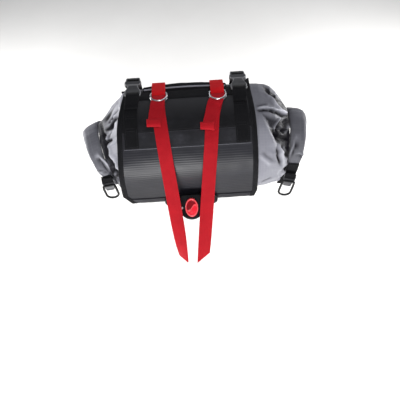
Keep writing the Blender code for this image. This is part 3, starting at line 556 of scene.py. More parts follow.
def closed_sheet(name, outer, inner, uvs, material):
    """A sheet from two grids of points, its outer and inner face, joined round the border."""
    rows, columns = len(outer), len(outer[0])
    points = [point for row in outer for point in row] + [point for row in inner for point in row]
    offset = rows * columns
    faces = []
    for row in range(rows - 1):
        for column in range(columns - 1):
            a, b = row * columns + column, row * columns + column + 1
            c, d = b + columns, a + columns
            faces.append((a, b, c, d))
            faces.append((a + offset, d + offset, c + offset, b + offset))
    for row in range(rows - 1):
        for column, flip in ((0, False), (columns - 1, True)):
            a, d = row * columns + column, (row + 1) * columns + column
            face = (a, d, d + offset, a + offset)
            faces.append(face[::-1] if flip else face)
    for column in range(columns - 1):
        for row, flip in ((0, True), (rows - 1, False)):
            a, b = row * columns + column, row * columns + column + 1
            face = (a, b, b + offset, a + offset)
            faces.append(face[::-1] if flip else face)
    flat = [uv for row in uvs for uv in row]
    return new_piece(name, points, faces, flat + flat, material)


def wrapped(name, first, last, left, right, lift, thickness, material, step=0.004, shape=None, grooves=()):
    """A layer of cloth on the bag between two turns and two side edges.

    shape(x, turn) adds to the lift. grooves are stitch lines: distances in from the side edges.
    """
    around = [math.degrees(place / WRAP_RADIUS) for place in
              eased(math.radians(first) * WRAP_RADIUS, math.radians(last) * WRAP_RADIUS, step)]
    widest = max(right(turn) - left(turn) for turn in around)
    across = [place / widest for place in eased(0.0, widest, step)]
    outer, inner, uvs = [], [], []
    for turn in around:
        low, high = left(turn), right(turn)
        from_end = min(turn - first, last - turn) * math.radians(1) * WRAP_RADIUS
        top_row, under_row, uv_row = [], [], []
        for share in across:
            x = low + (high - low) * share
            from_side = min(x - low, high - x)
            inset = min(from_side, from_end)
            edge = 0.38 * thickness * math.exp(-inset / 0.0007)
            groove = sum(0.00022 * bell(from_side, place, 0.0006) for place in grooves)
            groove += sum(0.00022 * bell(from_end, place, 0.0006) for place in grooves)
            extra = shape(x, turn) if shape else 0.0
            top_row.append(on_wrap(x, turn, lift + thickness - edge - groove + extra))
            under_row.append(on_wrap(x, turn, lift + edge * 0.4 + extra))
            uv_row.append((x, math.radians(turn) * WRAP_RADIUS))
        outer.append(top_row)
        inner.append(under_row)
        uvs.append(uv_row)
    return closed_sheet(name, outer, inner, uvs, material)


def resampled(points, values, step):
    """A smooth curve through points, cut to even steps, with its values carried along."""
    count = len(points)
    fine_points, fine_values = [], []
    for index in range(count - 1):
        around = [points[max(0, min(count - 1, index + shift))] for shift in (-1, 0, 1, 2)]
        pieces = max(2, int((around[2] - around[1]).length / (step * 0.25)))
        for piece in range(pieces):
            t = piece / pieces
            before, here, after, beyond = around
            out = (after - before) * 0.5
            back = (beyond - here) * 0.5
            fine_points.append(here * (2 * t**3 - 3 * t**2 + 1) + out * (t**3 - 2 * t**2 + t)
                               + after * (-2 * t**3 + 3 * t**2) + back * (t**3 - t**2))
            pairs = zip(values[index], values[index + 1])
            fine_values.append([low + (high - low) * t for low, high in pairs])
    fine_points.append(points[-1])
    fine_values.append(list(values[-1]))
    kept_points, kept_values, since = [fine_points[0]], [fine_values[0]], 0.0
    for index in range(1, len(fine_points)):
        since += (fine_points[index] - fine_points[index - 1]).length
        if since >= step or index == len(fine_points) - 1:
            kept_points.append(fine_points[index])
            kept_values.append(fine_values[index])
            since = 0.0
    return kept_points, kept_values


STRAP_STEP = 0.0025
# Half of a strap's section, from one selvedge over its face to the other: shares of its width and thickness
STRAP_FACE = ((-0.5, 0.0), (-0.494, 0.32), (-0.475, 0.5), (-0.40, 0.47), (-0.2, 0.47), (0.0, 0.47),
              (0.2, 0.47), (0.40, 0.47), (0.475, 0.5), (0.494, 0.32))
STRAP_SECTION = STRAP_FACE + tuple((-across, -rise) for across, rise in STRAP_FACE)


def heading(points, index, closed=False):
    """The direction of a line of points at one of them; closed where its ends meet."""
    before, after, last = index - 1, index + 1, len(points) - 1
    if closed:
        return (points[after % len(points)] - points[before]).normalized()
    return (points[min(last, after)] - points[max(0, before)]).normalized()


def strap(name, points, width, thickness, material, sides=None, end_cut=0.0):
    """Webbing with rounded selvedges along points.

    sides: its width directions. end_cut: how much longer one edge is at the slanting last end.
    """
    sides = sides or [sideways(1.0)] * len(points)
    points, sides = resampled(points, [list(side) for side in sides], STRAP_STEP)
    verts, uvs, run = [], [], 0.0
    total = sum((after - before).length for before, after in zip(points, points[1:]))
    for index, point in enumerate(points):
        onward = heading(points, index)
        side = Vector(sides[index])
        side = (side - onward * side.dot(onward)).normalized()
        up = side.cross(onward).normalized()
        run += (point - points[max(0, index - 1)]).length
        slant = onward * end_cut * smooth(run, total - END_CUT_REACH, total)
        for share, rise in STRAP_SECTION:
            verts.append(point + side * share * width + up * rise * thickness + slant * share)
            uvs.append((share * width, run))
    around = len(STRAP_SECTION)
    faces = ring_faces(len(points), around)
    faces.append(tuple(range(around)))
    last = (len(points) - 1) * around
    faces.append(tuple(range(last + around - 1, last - 1, -1)))
    return new_piece(name, verts, faces, uvs, material)


def tube(name, points, radius, material, closed=True):
    """A round wire along points; closed where its ends meet."""
    verts, uvs = [], []
    count, around = len(points), 14
    middle = sum(points, Vector()) / count
    flat = (points[0] - middle).cross(points[count // 3] - middle).normalized()
    for index, point in enumerate(points):
        side = heading(points, index, closed).cross(flat).normalized()
        for step in range(around):
            angle = 2 * math.pi * step / around
            verts.append(point + (side * math.cos(angle) + flat * math.sin(angle)) * radius)
            uvs.append((index * 0.001, step * 0.001))
    return new_piece(name, verts, ring_faces(count, around, closed), uvs, material)


def d_shape(top, across, down, half, depth):
    """A D of wire: a straight bar at the top and a bow below it."""
    straight, bow = 12, 40
    leg = max(0.15 * half, depth - half)
    points = [top + across * 0.90 * half * (2 * step / straight - 1) for step in range(straight + 1)]
    points += [top + across * half + down * leg * share for share in (0.35, 0.65)]
    for step in range(bow + 1):
        angle = math.pi * step / bow
        points.append(top + across * half * math.cos(angle) + down * (leg + (depth - leg) * math.sin(angle)))
    points += [top - across * half + down * leg * share for share in (0.65, 0.35)]
    return points


def stitches(name, lines, material, length=0.0026, gap=0.0011, radius=0.00032):
    """Rows of stitches: each line is points with the cloth's outward direction at each."""
    verts, faces = [], []
    for line in lines:
        place, run = 0, 0.0
        cuts = [0.0]
        for (a, _), (b, _) in zip(line, line[1:]):
            cuts.append(cuts[-1] + (b - a).length)
        while run + length < cuts[-1]:
            ends = []
            for distance in (run, run + length):
                while place < len(cuts) - 2 and cuts[place + 1] < distance:
                    place += 1
                share = (distance - cuts[place]) / max(1e-9, cuts[place + 1] - cuts[place])
                ends.append((line[place][0].lerp(line[place + 1][0], share), line[place][1]))
            run += length + gap
            add_stitch(verts, faces, ends, radius)
            while place > 0 and cuts[place] > run:
                place -= 1
    uvs = [(0.0, 0.0)] * len(verts)
    return new_piece(name, verts, faces, uvs, material)


def add_stitch(verts, faces, ends, radius):
    """One thread that dips into the cloth at both of its ends."""
    (first, up), (last, _) = ends
    onward = (last - first).normalized()
    side = onward.cross(up).normalized()
    base = len(verts)
    rings = ((0.0, -0.6, 0.35), (0.2, 0.25, 0.9), (0.5, 0.45, 1.0), (0.8, 0.25, 0.9), (1.0, -0.6, 0.35))
    for share, rise, fat in rings:
        middle = first.lerp(last, share) + up * rise * radius
        for angle in range(0, 360, 72):
            turned = math.radians(angle)
            verts.append(middle + (side * math.cos(turned) + up * math.sin(turned)) * radius * fat)
    faces.extend(tuple(base + corner for corner in face) for face in ring_faces(len(rings), 5))
    faces.append(tuple(base + index for index in range(4, -1, -1)))
    faces.append(tuple(base + 20 + index for index in range(5)))


def seam_along(turn, first, last, lift, count=60):
    """A stitch line along the bag at a turn."""
    outward, _ = direction(turn)
    places = [first + (last - first) * index / count for index in range(count + 1)]
    return [(on_wrap(x, turn, lift), outward) for x in places]


def seam_round(x_of, first, last, lift, count=70):
    """A stitch line round the bag at an x that is a function of the turn."""
    line = []
    for index in range(count + 1):
        turn = first + (last - first) * index / count
        line.append((on_wrap(x_of(turn), turn, lift), direction(turn)[0]))
    return line


# The cradle and its layers

def wrap_edge(side, inset=0.0):
    """The X of the cradle's side edge as a function of the turn.

    It is cut in at the bottom corner, fuller at mid height on the left and narrower towards the top.
    """
    def edge(turn):
        share = max(0.0, 1.0 - abs(turn - CORNER_TURN) / CORNER_CUT_SPAN)
        wide = CRADLE_HALF_WIDTH + BULGE[side] * bell(turn, 0.0, 38.0)
        narrowing = TOP_NARROWING[side] * smooth(turn, 55.0, 112.0)
        return side * (wide - inset - CORNER_CUT[side] * share - narrowing)

    return edge


def straight_edge(x):
    return lambda turn: x


def make_cradle():
    cradle = wrapped("cradle_cloth", FRONT_TOP_TURN, RIDER_TOP_TURN, wrap_edge(-1), wrap_edge(1),
                     -CRADLE_WALL, CRADLE_WALL, COATED_CLOTH)
    dress("coated_cloth", "cradle")
    left, right = wrap_edge(-1, BINDING_WIDTH + GAP), wrap_edge(1, BINDING_WIDTH + GAP)
    seam = math.degrees(GAP / WRAP_RADIUS)
    strip_foot = CORNER_TURN + 1.0
    strip_top = strip_foot + STRIP_HEIGHT_TURN
    for node, low, high, thickness, material, slot, groove, height in (
            ("middle_panel", LINE_B_TURN, LINE_A_TURN, MIDDLE_PANEL_THICKNESS, MIDDLE_CLOTH, "black_cloth",
             0.0022, 0.030),
            ("upper_panel", LINE_A_TURN + seam, PANEL_TOP_TURN, PANEL_THICKNESS, BLACK_CLOTH, "black_cloth",
             0.0022, 0.094),
            ("bottom_strip", strip_foot, strip_top, STRIP_THICKNESS, COATED_CLOTH, "coated_cloth",
             0.0018, 0.010)):
        piece = wrapped(node + "_cloth", low, high, left, right, GAP, thickness, material, step=0.003,
                        grooves=(groove,))
        dress(slot, node)
    for label, side in SIDES:
        outer, inner = wrap_edge(side), wrap_edge(side, BINDING_WIDTH)
        edges = (outer, inner) if side < 0 else (inner, outer)
        tape = wrapped("edge_tape_" + label, FRONT_TOP_TURN, RIDER_TOP_TURN, *edges, GAP, BINDING_THICKNESS,
                       BLACK_WEBBING, step=0.003, grooves=(0.0016,))
        dress("black_webbing", "edge_binding_" + label)
        run = seam_round(wrap_edge(side, BINDING_WIDTH - 0.0018), FRONT_TOP_TURN + 2, RIDER_TOP_TURN - 2,
                         GAP + BINDING_THICKNESS, 160)
        line = stitches("edge_stitches_" + label, [run], BLACK_THREAD)
    panel = CRADLE_HALF_WIDTH - BINDING_WIDTH - 0.004
    lines = [seam_along(LINE_B_TURN + 1.3, -panel, panel, GAP + MIDDLE_PANEL_THICKNESS),
             seam_along(LINE_A_TURN + 1.3, -panel, panel, GAP + PANEL_THICKNESS),
             seam_along(strip_top - 1.0, -panel + 0.02, panel, GAP + STRIP_THICKNESS)]
    stitches("panel_stitches", lines, BLACK_THREAD)
    span = CRADLE_HALF_WIDTH - BINDING_WIDTH - 0.002
    # Thin lines that paint light, each with its painted tone: a grey painted highlight just below line B, and
    # near-black painted shadow lines along line A and above the bottom strip
    for name, turn, lift, radius, tone in (("seam_painted_line", LINE_B_TURN - 0.7, 0.0003, 0.0006, 0.26),
                                           ("upper_seam_painted_line", LINE_A_TURN - 0.5, 0.0014, 0.0006, 0.03),
                                           ("strip_shadow_line", strip_top + 0.5, 0.0002, 0.0009, 0.0)):
        line = [on_wrap(-span + 2 * span * step / 60, turn, lift) for step in range(61)]
        painted_line = tube(name, line, radius, PAINTED_LINE, closed=False)
        add_painted_light(painted_line, [tone] * len(painted_line.data.vertices))


# The turns of the two bar-tacks below each top buckle
TACK_TURNS = {-1: (71.5, 74.0), 1: (79.5, 82.0)}


def make_tacks():
    """Bar-tacks and edge stitching on the side webbing."""
    lift = WEBBING_LIFT + WEBBING_THICKNESS
    half = WEBBING_WIDTH / 2
    lines = []
    for _, side in SIDES:
        middle = side * SIDE_WEBBING_X
        for turn in (LINE_A_TURN + 1.5, LINE_A_TURN + 4.0, *TACK_TURNS[side], LINE_B_TURN + 2.0):
            lines.append(seam_along(turn, middle - half + 0.002, middle + half - 0.002, lift, 12))
        for edge in (-1, 1):
            x = middle + edge * (half - 0.0024)
            lines.append(seam_round(straight_edge(x), LINE_B_TURN + 2.0, LINE_A_TURN + 4.0, lift, 12))
    stitches("webbing_tacks", lines, BLACK_THREAD)


def make_rim():
    """The padded hem along the top edge, higher in the middle, with a light grey tube along it that paints its
    highlight.
    """
    verts, uvs = [], []
    along_steps, round_steps = 72, 14
    for step in range(along_steps + 1):
        share = 2 * step / along_steps - 1
        x = share * RIM_HALF_LENGTH
        end = 1 - max(0.0, (abs(share) - 0.97) / 0.03) ** 2 * 0.5
        height = (RIM_END_HEIGHT + RIM_ARCH * (1 - share**2)) * end
        height += 0.0004 * noise.noise(Vector((x * 60, 0.0, 2.0)))
        for index in range(round_steps + 1):
            angle = math.pi * index / round_steps
            fat = 1 + 0.05 * noise.noise(Vector((x * 45, index * 0.5, 7.0)))
            along = RIM_WIDTH / 2 * math.cos(angle) * fat
            verts.append(beside(x, RIM_TURN, along, GAP + height * math.sin(angle) * fat + 0.0003))
            uvs.append((x, RIM_WIDTH * 0.8 * index / round_steps))
    across = round_steps + 1
    faces = ring_faces(along_steps + 1, across)
    faces.append(tuple(range(across))[::-1])
    faces.append(tuple(along_steps * across + index for index in range(across)))
    rim = new_piece("top_hem", verts, faces, uvs, BLACK_CLOTH)
    dress("black_webbing", "top_rim")
    # A painted highlight: a light grey tube along the hem's face
    line = []
    for step in range(49):
        x = RIM_HALF_LENGTH * 0.96 * (2 * step / 48 - 1)
        arch = RIM_ARCH * (1 - (x / RIM_HALF_LENGTH) ** 2)
        line.append(beside(x, RIM_TURN, PAINTED_LINE_ALONG, GAP + 0.53 * (RIM_END_HEIGHT + arch) + 0.0011))
    painted_line = tube("rim_painted_line", line, PAINTED_LINE_RADIUS, PAINTED_LINE, closed=False)
    add_painted_light(painted_line, [0.5] * len(painted_line.data.vertices))


def bend_points(centre, radius, turn, first, last, count=11):
    """Points round a bar: angles in degrees from the onward direction towards the outward one."""
    outward, onward = direction(turn)
    angles = [math.radians(first + (last - first) * step / (count - 1)) for step in range(count)]
    return [centre + onward * radius * math.cos(a) + outward * radius * math.sin(a) for a in angles]


def arc(x, first, last, lift, step=3.0):
    """Points on the wrap from one turn to another."""
    count = max(2, int(abs(last - first) / step))
    return [on_wrap(x, first + (last - first) * index / count, lift) for index in range(count + 1)]


# The top buckles: places along them from the socket's bar, half their width and their thickness, in metres
BUCKLE_TIP = 24.0
BUCKLE_SHIFT = 0.0205
LEFT_BUCKLE_LOWER = 0.0040
LEFT_BUCKLE_LEAN = 0.0050
LEAN_TURNS = (72.0, 112.0)
BUCKLE_OUTLINE = ((0.0000, 0.0140, 0.0034), (0.0030, 0.0152, 0.0040), (0.0095, 0.0154, 0.0046),
                  (0.0125, 0.0144, 0.0085), (0.0170, 0.0116, 0.0100), (0.0225, 0.0098, 0.0100),
                  (0.0255, 0.0100, 0.0098), (0.0285, 0.0142, 0.0096), (0.0320, 0.0160, 0.0090),
                  (0.0370, 0.0158, 0.0076), (0.0405, 0.0142, 0.0046), (0.0470, 0.0136, 0.0040),
                  (0.0495, 0.0128, 0.0034))
BUCKLE_SPLIT = 0.0262
SOCKET_SLOT = (0.0026, 0.0090)
PLUG_SLOT = (0.0388, 0.0476)
SLOT_HALF_WIDTH = 0.0112

# Where the front webbing runs under the plug and up into its slot: along the buckle and off it, in metres
UNDER_PLUG = ((0.0105, -0.0034), (0.0040, -0.0030), (0.0006, -0.0024), (-0.0014, -0.0022))


def buckle_shift(x):
    return BUCKLE_SHIFT + (LEFT_BUCKLE_LOWER if x < 0 else 0.0)


def buckle_frame(x):
    """Where a top buckle starts, on the socket's bar, and its onward and outward directions."""
    outward, onward = direction(BUCKLE_TURN - BUCKLE_TIP)
    lean = LEFT_BUCKLE_LEAN if x < 0 else 0.0
    return beside(x + lean, BUCKLE_TURN, -BAR_ALONG - buckle_shift(x), BUCKLE_LIFT - 0.0012), onward, outward


def leaning(x, turn):
    """X of the side webbing at a turn."""
    return x + (LEFT_BUCKLE_LEAN if x < 0 else 0.0) * smooth(turn, *LEAN_TURNS)


def table_value(table, place, column):
    """A column of a table at a place, smoothed between its rows."""
    for low, high in zip(table, table[1:]):
        if place <= high[0]:
            share = smooth(place, low[0], high[0])
            return low[column] + (high[column] - low[column]) * share
    return table[-1][column]


def moulded_plate(name, outline, first, last, slots, place_at, material, rounding=0.0018):
    """A moulded plate with rounded edges and recessed slots, between two places along its outline."""
    steps, across = 44, 44
    outer, inner, uvs, painted_light = [], [], [], []
    for step in range(steps + 1):
        along = first + (last - first) * step / steps
        half, thickness = table_value(outline, along, 1), table_value(outline, along, 2)
        from_end = min(along - first, last - along)
        top_row, under_row, uv_row = [], [], []
        for index in range(across + 1):
            share = 2 * index / across - 1
            share = math.copysign(1 - (1 - abs(share)) ** 1.6, share)
            inset = min(half * (1 - abs(share)), from_end)
            edge = math.sqrt(max(0.0, 1 - (1 - min(1.0, inset / rounding)) ** 2))
            rise = thickness / 2 * (0.35 + 0.65 * edge)
            recess = 0.0
            for low, high in slots:
                inside = min(along - low, high - along, SLOT_HALF_WIDTH - abs(half * share))
                recess = max(recess, smooth(inside, 0.0, 0.0007))
            top_row.append(place_at(along, half * share, rise - recess * thickness * 0.72))
            under_row.append(place_at(along, half * share, -rise))
            uv_row.append((half * share, along))
            # Painted highlights along the rounded edges, painted shade in the slots
            lit = 0.16 * bell(inset, 0.0010, 0.0008)
            painted_light.append(0.5 + lit - 0.5 * recess)
        outer.append(top_row)
        inner.append(under_row)
        uvs.append(uv_row)
    plate = closed_sheet(name, outer, inner, uvs, material)
    add_painted_light(plate, painted_light + [0.5] * len(painted_light))
    return plate


def make_top_buckle(label, side):
    start, onward, outward = buckle_frame(side * SIDE_WEBBING_X)

    def place_at(along, across, rise):
        return start + onward * (along - BAR_SIZE / 2) + sideways(across) + outward * rise

    for part, first, last, slots in (("socket", 0.0, BUCKLE_SPLIT - 0.0004, (SOCKET_SLOT,)),
                                     ("plug", BUCKLE_SPLIT, BUCKLE_OUTLINE[-1][0], (PLUG_SLOT,))):
        plate = moulded_plate("buckle_" + label + "_" + part + "_shell", BUCKLE_OUTLINE, first, last, slots,
                              place_at, BUCKLE_PLASTIC)
        dress("dark_plastic", "buckle_" + label + "_" + part)


def webbing_to_buckle(x, onto_plug):
    """The path of webbing that comes along the wrap to a buckle: round its socket's bar or into its plug."""
    start, onward, outward = buckle_frame(x)
    lift = (GAP if onto_plug else WEBBING_LIFT) + WEBBING_THICKNESS / 2
    if onto_plug:
        slot = start + onward * (sum(PLUG_SLOT) / 2 - BAR_SIZE / 2)
        under = [slot + onward * along + outward * off for along, off in UNDER_PLUG]
        leave = BUCKLE_TURN + math.degrees((BAR_ALONG + 0.020) / WRAP_RADIUS)
        return arc(leaning(x, BUCKLE_TURN), FRONT_WEBBING_END_TURN, leave, lift) + under
    near = BUCKLE_TURN - math.degrees((BAR_ALONG + buckle_shift(x) + 3 * BEND_RADIUS) / WRAP_RADIUS)
    bend = bend_points(start, BEND_RADIUS, BUCKLE_TURN - BUCKLE_TIP, -90.0, 150.0)
    fold = 2 * WEBBING_THICKNESS + 2 * GAP
    tail = [on_wrap(leaning(x, turn), turn, lift + fold) for turn in (near - 1.5, near - 5.0)]
    up = [point + sideways(leaning(x, LINE_B_TURN + index * 3.0) - x) for index, point in
          enumerate(arc(x, LINE_B_TURN + 0.5, near, lift))]
    return up + bend + tail


def make_black_webbing():
    reach = SIDE_WEBBING_X - WEBBING_WIDTH / 2 - GAP
    top = TOP_WEBBING_TURN + math.degrees(WEBBING_WIDTH / WRAP_RADIUS)
    band = wrapped("top_band", TOP_WEBBING_TURN, top, straight_edge(-reach), straight_edge(reach),
                   WEBBING_LIFT, WEBBING_THICKNESS, BLACK_WEBBING, step=0.003, grooves=(0.0020,))
    dress("black_webbing", "top_webbing")
    for label, side in SIDES:
        x = side * SIDE_WEBBING_X
        for part, onto_plug in (("side_webbing_", False), ("front_webbing_", True)):
            piece = strap(part + label + "_tape", webbing_to_buckle(x, onto_plug), WEBBING_WIDTH,
                          WEBBING_THICKNESS, BLACK_WEBBING)
            dress("black_webbing", part + label)


def bow_turn(side):
    return BAR_TURN[side] - math.degrees(RING_SPAN / WRAP_RADIUS)


def make_rings(label, side):
    """Two D-rings whose bars share the red loop: the strap's tail lies between their bows."""
    x = ring_x(side)
    for part, top_lift, bottom_lift in (("back", RING_LIFT, RING_LIFT),
                                        ("front", RING_LIFT + RING_WIRE + GAP, RING_LIFT + 0.0054)):
        top = beside(x, BAR_TURN[side], 0.0, top_lift)
        bottom = beside(x, bow_turn(side), 0.0, bottom_lift)
        down = (bottom - top).normalized()
        wire = d_shape(top, sideways(1.0), down, RING_HALF, (bottom - top).length)
        ring = tube("d_ring_" + label + "_" + part, wire, RING_WIRE / 2, STEEL)
        if part == "back":
            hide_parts("d_ring_" + label)


def make_red_loop(label, side):
    """The webbing loop that passes over the rim and holds the D-rings."""
    x, turn_at = ring_x(side), BAR_TURN[side]
    radius = RING_BEND_RADIUS + (RING_WIRE + GAP) / 2
    bar = beside(x, turn_at, 0.0, RING_LIFT + (RING_WIRE + GAP) / 2)
    rim_top = GAP + RIM_END_HEIGHT + RIM_ARCH * (1 - (x / RIM_HALF_LENGTH) ** 2) + 0.0006
    over = rim_top + 2 * GAP + WEBBING_THICKNESS
    under = STRAP_LIFT + WEBBING_THICKNESS / 2
    behind = GAP * 2 + WEBBING_THICKNESS / 2 - CRADLE_WALL
    reach = math.degrees(RIM_WIDTH / 2 / WRAP_RADIUS)
    top = RING_LIFT + (RING_WIRE + GAP) / 2 + radius
    path = [on_wrap(x, turn, lift) for turn, lift in (
        (RIDER_TOP_TURN + 9.0, behind), (RIDER_TOP_TURN + 5.0, behind + GAP), (RIDER_TOP_TURN + 2.0, 0.0020),
        (RIM_TURN + reach + 1.5, over * 0.72), (RIM_TURN + reach * 0.5, over), (RIM_TURN, over + GAP),
        (RIM_TURN - reach * 0.8, over), (RIM_TURN - reach - 2.0, top + 0.0002), (turn_at + 3.0, top))]
    path += bend_points(bar, radius, turn_at, 90.0, 270.0)
    path += arc(x, turn_at + 3.0, RIM_TURN - reach - 1.2, under)
    loop = strap("red_loop_" + label + "_tape", path, WEBBING_WIDTH, WEBBING_THICKNESS, LIT_LOOP_WEBBING)
    dress("red_webbing", "red_loop_" + label)


INWARD_SHARE = {-1: 0.098, 1: 0.1125}
STRAP_END_BACK = 0.196
STRAP_END_DROP = 0.125
TAIL_END_TURN = {-1: 61.0, 1: 55.5}
TAIL_END_X = {-1: 0.059, 1: 0.037}
TWIST_LENGTH = 0.120
TWIST = {-1: 52.0, 1: -22.0}
END_CUT = {-1: 0.0075, 1: -0.0185}
END_CUT_REACH = 0.030


def ring_x(side):
    return side * RING_X[side]


def strap_x(side, distance):
    """X of a long strap at a distance below its ring: it swings in from the ring to its own straight line."""
    inward = INWARD_SHARE[side]
    swing = max(0.0, 1 - distance / STRAP_SWING_LENGTH) ** 2
    return side * (STRAP_X - inward * distance) * (1 - swing) + ring_x(side) * swing


def make_red_strap(label, side):
    """A long strap: under its doubled tail it turns inside the rings and runs down past the housing."""
    lift = WEBBING_LIFT + WEBBING_THICKNESS / 2
    tail_end = side * TAIL_END_X[side]
    first = bow_turn(side) - 3.0
    over = RING_LIFT + RING_BEND_RADIUS
    bight_turn = BAR_TURN[side] - 4.2
    bight_radius = (over - lift) / 2
    doubled = lift + WEBBING_THICKNESS + 2 * GAP
    tail_turn = TAIL_END_TURN[side]
    hem = doubled + 2 * WEBBING_THICKNESS + 0.0052
    tail = [on_wrap(0.0, turn, height) for turn, height in (
        (tail_turn + 6.5, hem), (tail_turn + 2.0, hem), (tail_turn + 0.2, doubled + 0.0062),
        (tail_turn, doubled + 0.0040), (tail_turn + 3.5, doubled + 0.0026),
        (tail_turn + 9.0, doubled + 0.0012), (tail_turn + 15.0, doubled + 0.0014),
        (first - 4.0, doubled + 0.0022), (first, over - 0.0003), (first + 3.0, over),
        (bight_turn - 2.0, over))]
    folded = 3
    bend = bend_points(beside(0.0, bight_turn, 0.0, (over + lift) / 2), bight_radius, bight_turn, 90.0, -90.0)
    end = Vector((0.0, -STRAP_END_BACK, -STRAP_END_DROP))
    radius = WRAP_RADIUS + lift
    leave = math.degrees(math.atan2(-STRAP_END_DROP, STRAP_END_BACK) + math.acos(radius / end.length))
    down = arc(0.0, bight_turn - 2.5, leave, lift)
    start = down[-1]
    free = 14
    down += [start.lerp(AXIS + end, step / free) for step in range(1, free + 1)]
    points, twists = [], []
    for index, point in enumerate(tail):
        share = 1 - max(0, index - folded) / (len(tail) - 1 - folded)
        points.append(point + sideways(ring_x(side) + (tail_end - ring_x(side)) * share))
        twists.append(0.0)
    for point in bend:
        points.append(point + sideways(ring_x(side)))
        twists.append(0.0)
    total = sum((b - a).length for a, b in zip([bend[-1]] + down, down))
    distance, last = 0.0, bend[-1]
    for point in down:
        distance += (point - last).length
        last = point
        points.append(point + sideways(strap_x(side, distance)))
        into = max(0.0, (distance - total + TWIST_LENGTH) / TWIST_LENGTH)
        twists.append(TWIST[side] * into**2)
    sides = []
    across = sideways(1.0)
    for index, twist in enumerate(twists):
        onward = heading(points, index)
        level = (across - onward * across.dot(onward)).normalized()
        sides.append(Matrix.Rotation(math.radians(twist), 3, onward) @ level)
    piece = strap("red_strap_" + label + "_tape", points, WEBBING_WIDTH, WEBBING_THICKNESS, RED_WEBBING,
                  sides, END_CUT[side])
    dress("red_webbing", "red_strap_" + label)


# The dry bag

MOUTH_REACH = {-1: 0.138, 1: 0.184}
MOUTH_ARCH_RADIUS = 0.056
MOUTH_ARCH_DROP = 0.020
MOUTH_LEG = {-1: 0.032, 1: 0.028}
MOUTH_THICKNESS = 0.0090
ROLL_WIDTH = {-1: 0.031, 1: 0.034}
ROLL_THICKNESS = 0.017
ROLL_LEG_SHARE = 0.62
ROLL_SHARPNESS = {-1: 1.9, 1: 1.0}
PEAK_ROUNDING = 0.55
MOUTH_CLEARANCE = 0.0014
PEAK_PLACE = 0.60
ARCH_SETTLE = {-1: 0.006, 1: 0.0}
ROLL_LEAN = {-1: 0.036, 1: 0.014}
TIP_TURN = -25.0
BAG_AROUND = 360

# Sections of the two ends: way (share of the mouth's reach) and flat (0 round, 1 the flat mouth)
LEFT_END = ((0.82, 0.00), (0.88, 0.10), (0.92, 0.28), (0.952, 0.50), (0.98, 0.76), (1.00, 1.00))
RIGHT_END = ((0.68, 0.00), (0.76, 0.02), (0.83, 0.07), (0.885, 0.17), (0.93, 0.34), (0.97, 0.63),
             (1.00, 1.00))

# Folds that the photograph shows, on what faces it: where each starts and ends in the picture, the width of
# its valley in pixels, its depth and the height of the ridge beside it in metres, and the ridge's side
# (1 is to the right of the way from start to end)
FOLDS = (
    ((257, 110), (274, 110), 1.0, 0.0030, 0.0024, -1),
    ((270, 110), (288, 117), 1.1, 0.0045, 0.0032, -1),
    ((256, 106), (268, 104), 1.1, 0.0010, 0.0012, 1),
    ((273, 97), (290, 117), 1.2, 0.0040, 0.0028, 1),
    ((264, 85), (290, 109), 1.7, 0.0050, 0.0022, -1),
    ((268, 93), (276, 99), 1.0, 0.0016, 0.0012, 1),
    ((276, 136), (292, 141), 2.8, 0.0060, 0.0016, -1),
    ((283, 117), (280, 131), 0.9, 0.0022, 0.0026, 1),
    ((287, 119), (285, 135), 1.1, 0.0034, 0.0022, -1),
    ((277, 148), (280, 165), 1.5, 0.0034, 0.0014, -1),
    ((261, 182), (272, 177), 0.7, 0.0016, 0.0004, 1),
    ((262, 152), (274, 162), 2.0, 0.0010, 0.0012, 1),
    ((283, 146), (287, 158), 1.2, 0.0024, 0.0016, 1),
    ((101, 124), (114, 176), 1.2, 0.0050, 0.0010, -1),
    ((117, 103), (105, 121), 1.1, 0.0030, 0.0026, -1),
    ((118, 109), (108, 124), 0.9, 0.0028, 0.0030, -1),
    ((116, 119), (106, 131), 1.3, 0.0046, 0.0026, -1),
    ((119, 117), (111, 119), 0.8, 0.0030, 0.0012, 1),
    ((111, 139), (105, 144), 1.1, 0.0040, 0.0016, 1),
    ((107, 150), (118, 176), 1.2, 0.0030, 0.0022, -1),
    ((110, 158), (120, 184), 1.0, 0.0024, 0.0020, 1),
    ((118, 174), (110, 184), 1.4, 0.0032, 0.0010, 1),
)
ROLL_FOLDS = (
    ((95, 154), (110, 173), 1.0, 0.0024, 0.0030, -1),
    ((99, 170), (108, 173), 0.8, 0.0024, 0.0014, 1),
    ((299, 134), (291, 158), 0.9, 0.0020, 0.0018, 1),
    ((296, 152), (304, 158), 1.0, 0.0016, 0.0020, -1),
    ((303, 112), (309, 128), 1.2, 0.0010, 0.0008, -1),
)

# Places where the cloth buckles in: three corners in the picture, clockwise, the depth in metres, the width
# in pixels over which it falls and how much painted shade darkens it
PITS = (
    ((260, 111), (291, 119), (278, 152), 0.0110, 9.0, 0.34),
    ((268, 127), (294, 128), (284, 153), 0.0050, 4.0, 0.42),
    ((283, 140), (296, 140), (289, 172), 0.0030, 4.0, 0.30),
    ((262, 86), (275, 89), (289, 110), 0.0030, 3.0, 0.30),
    ((109, 121), (117, 121), (107, 146), 0.0040, 3.0, 0.35),
    ((119, 98), (121, 122), (103, 124), 0.0020, 4.0, 0.22),
)
# Painted light: how much painted shade a fold's valley and how much painted highlight a ridge take per metre of
# depth or height; then, by side, the painted shade over the right end's top and over the right roll
FOLD_SHADE = 230.0
RIDGE_HIGHLIGHT = 150.0
TOP_SHADE = {-1: 0.0, 1: 0.20}
ROLL_SHADE = {-1: 0.0, 1: 0.13}


def arch_length(side):
    return 2 * MOUTH_LEG[side] + math.pi * MOUTH_ARCH_RADIUS


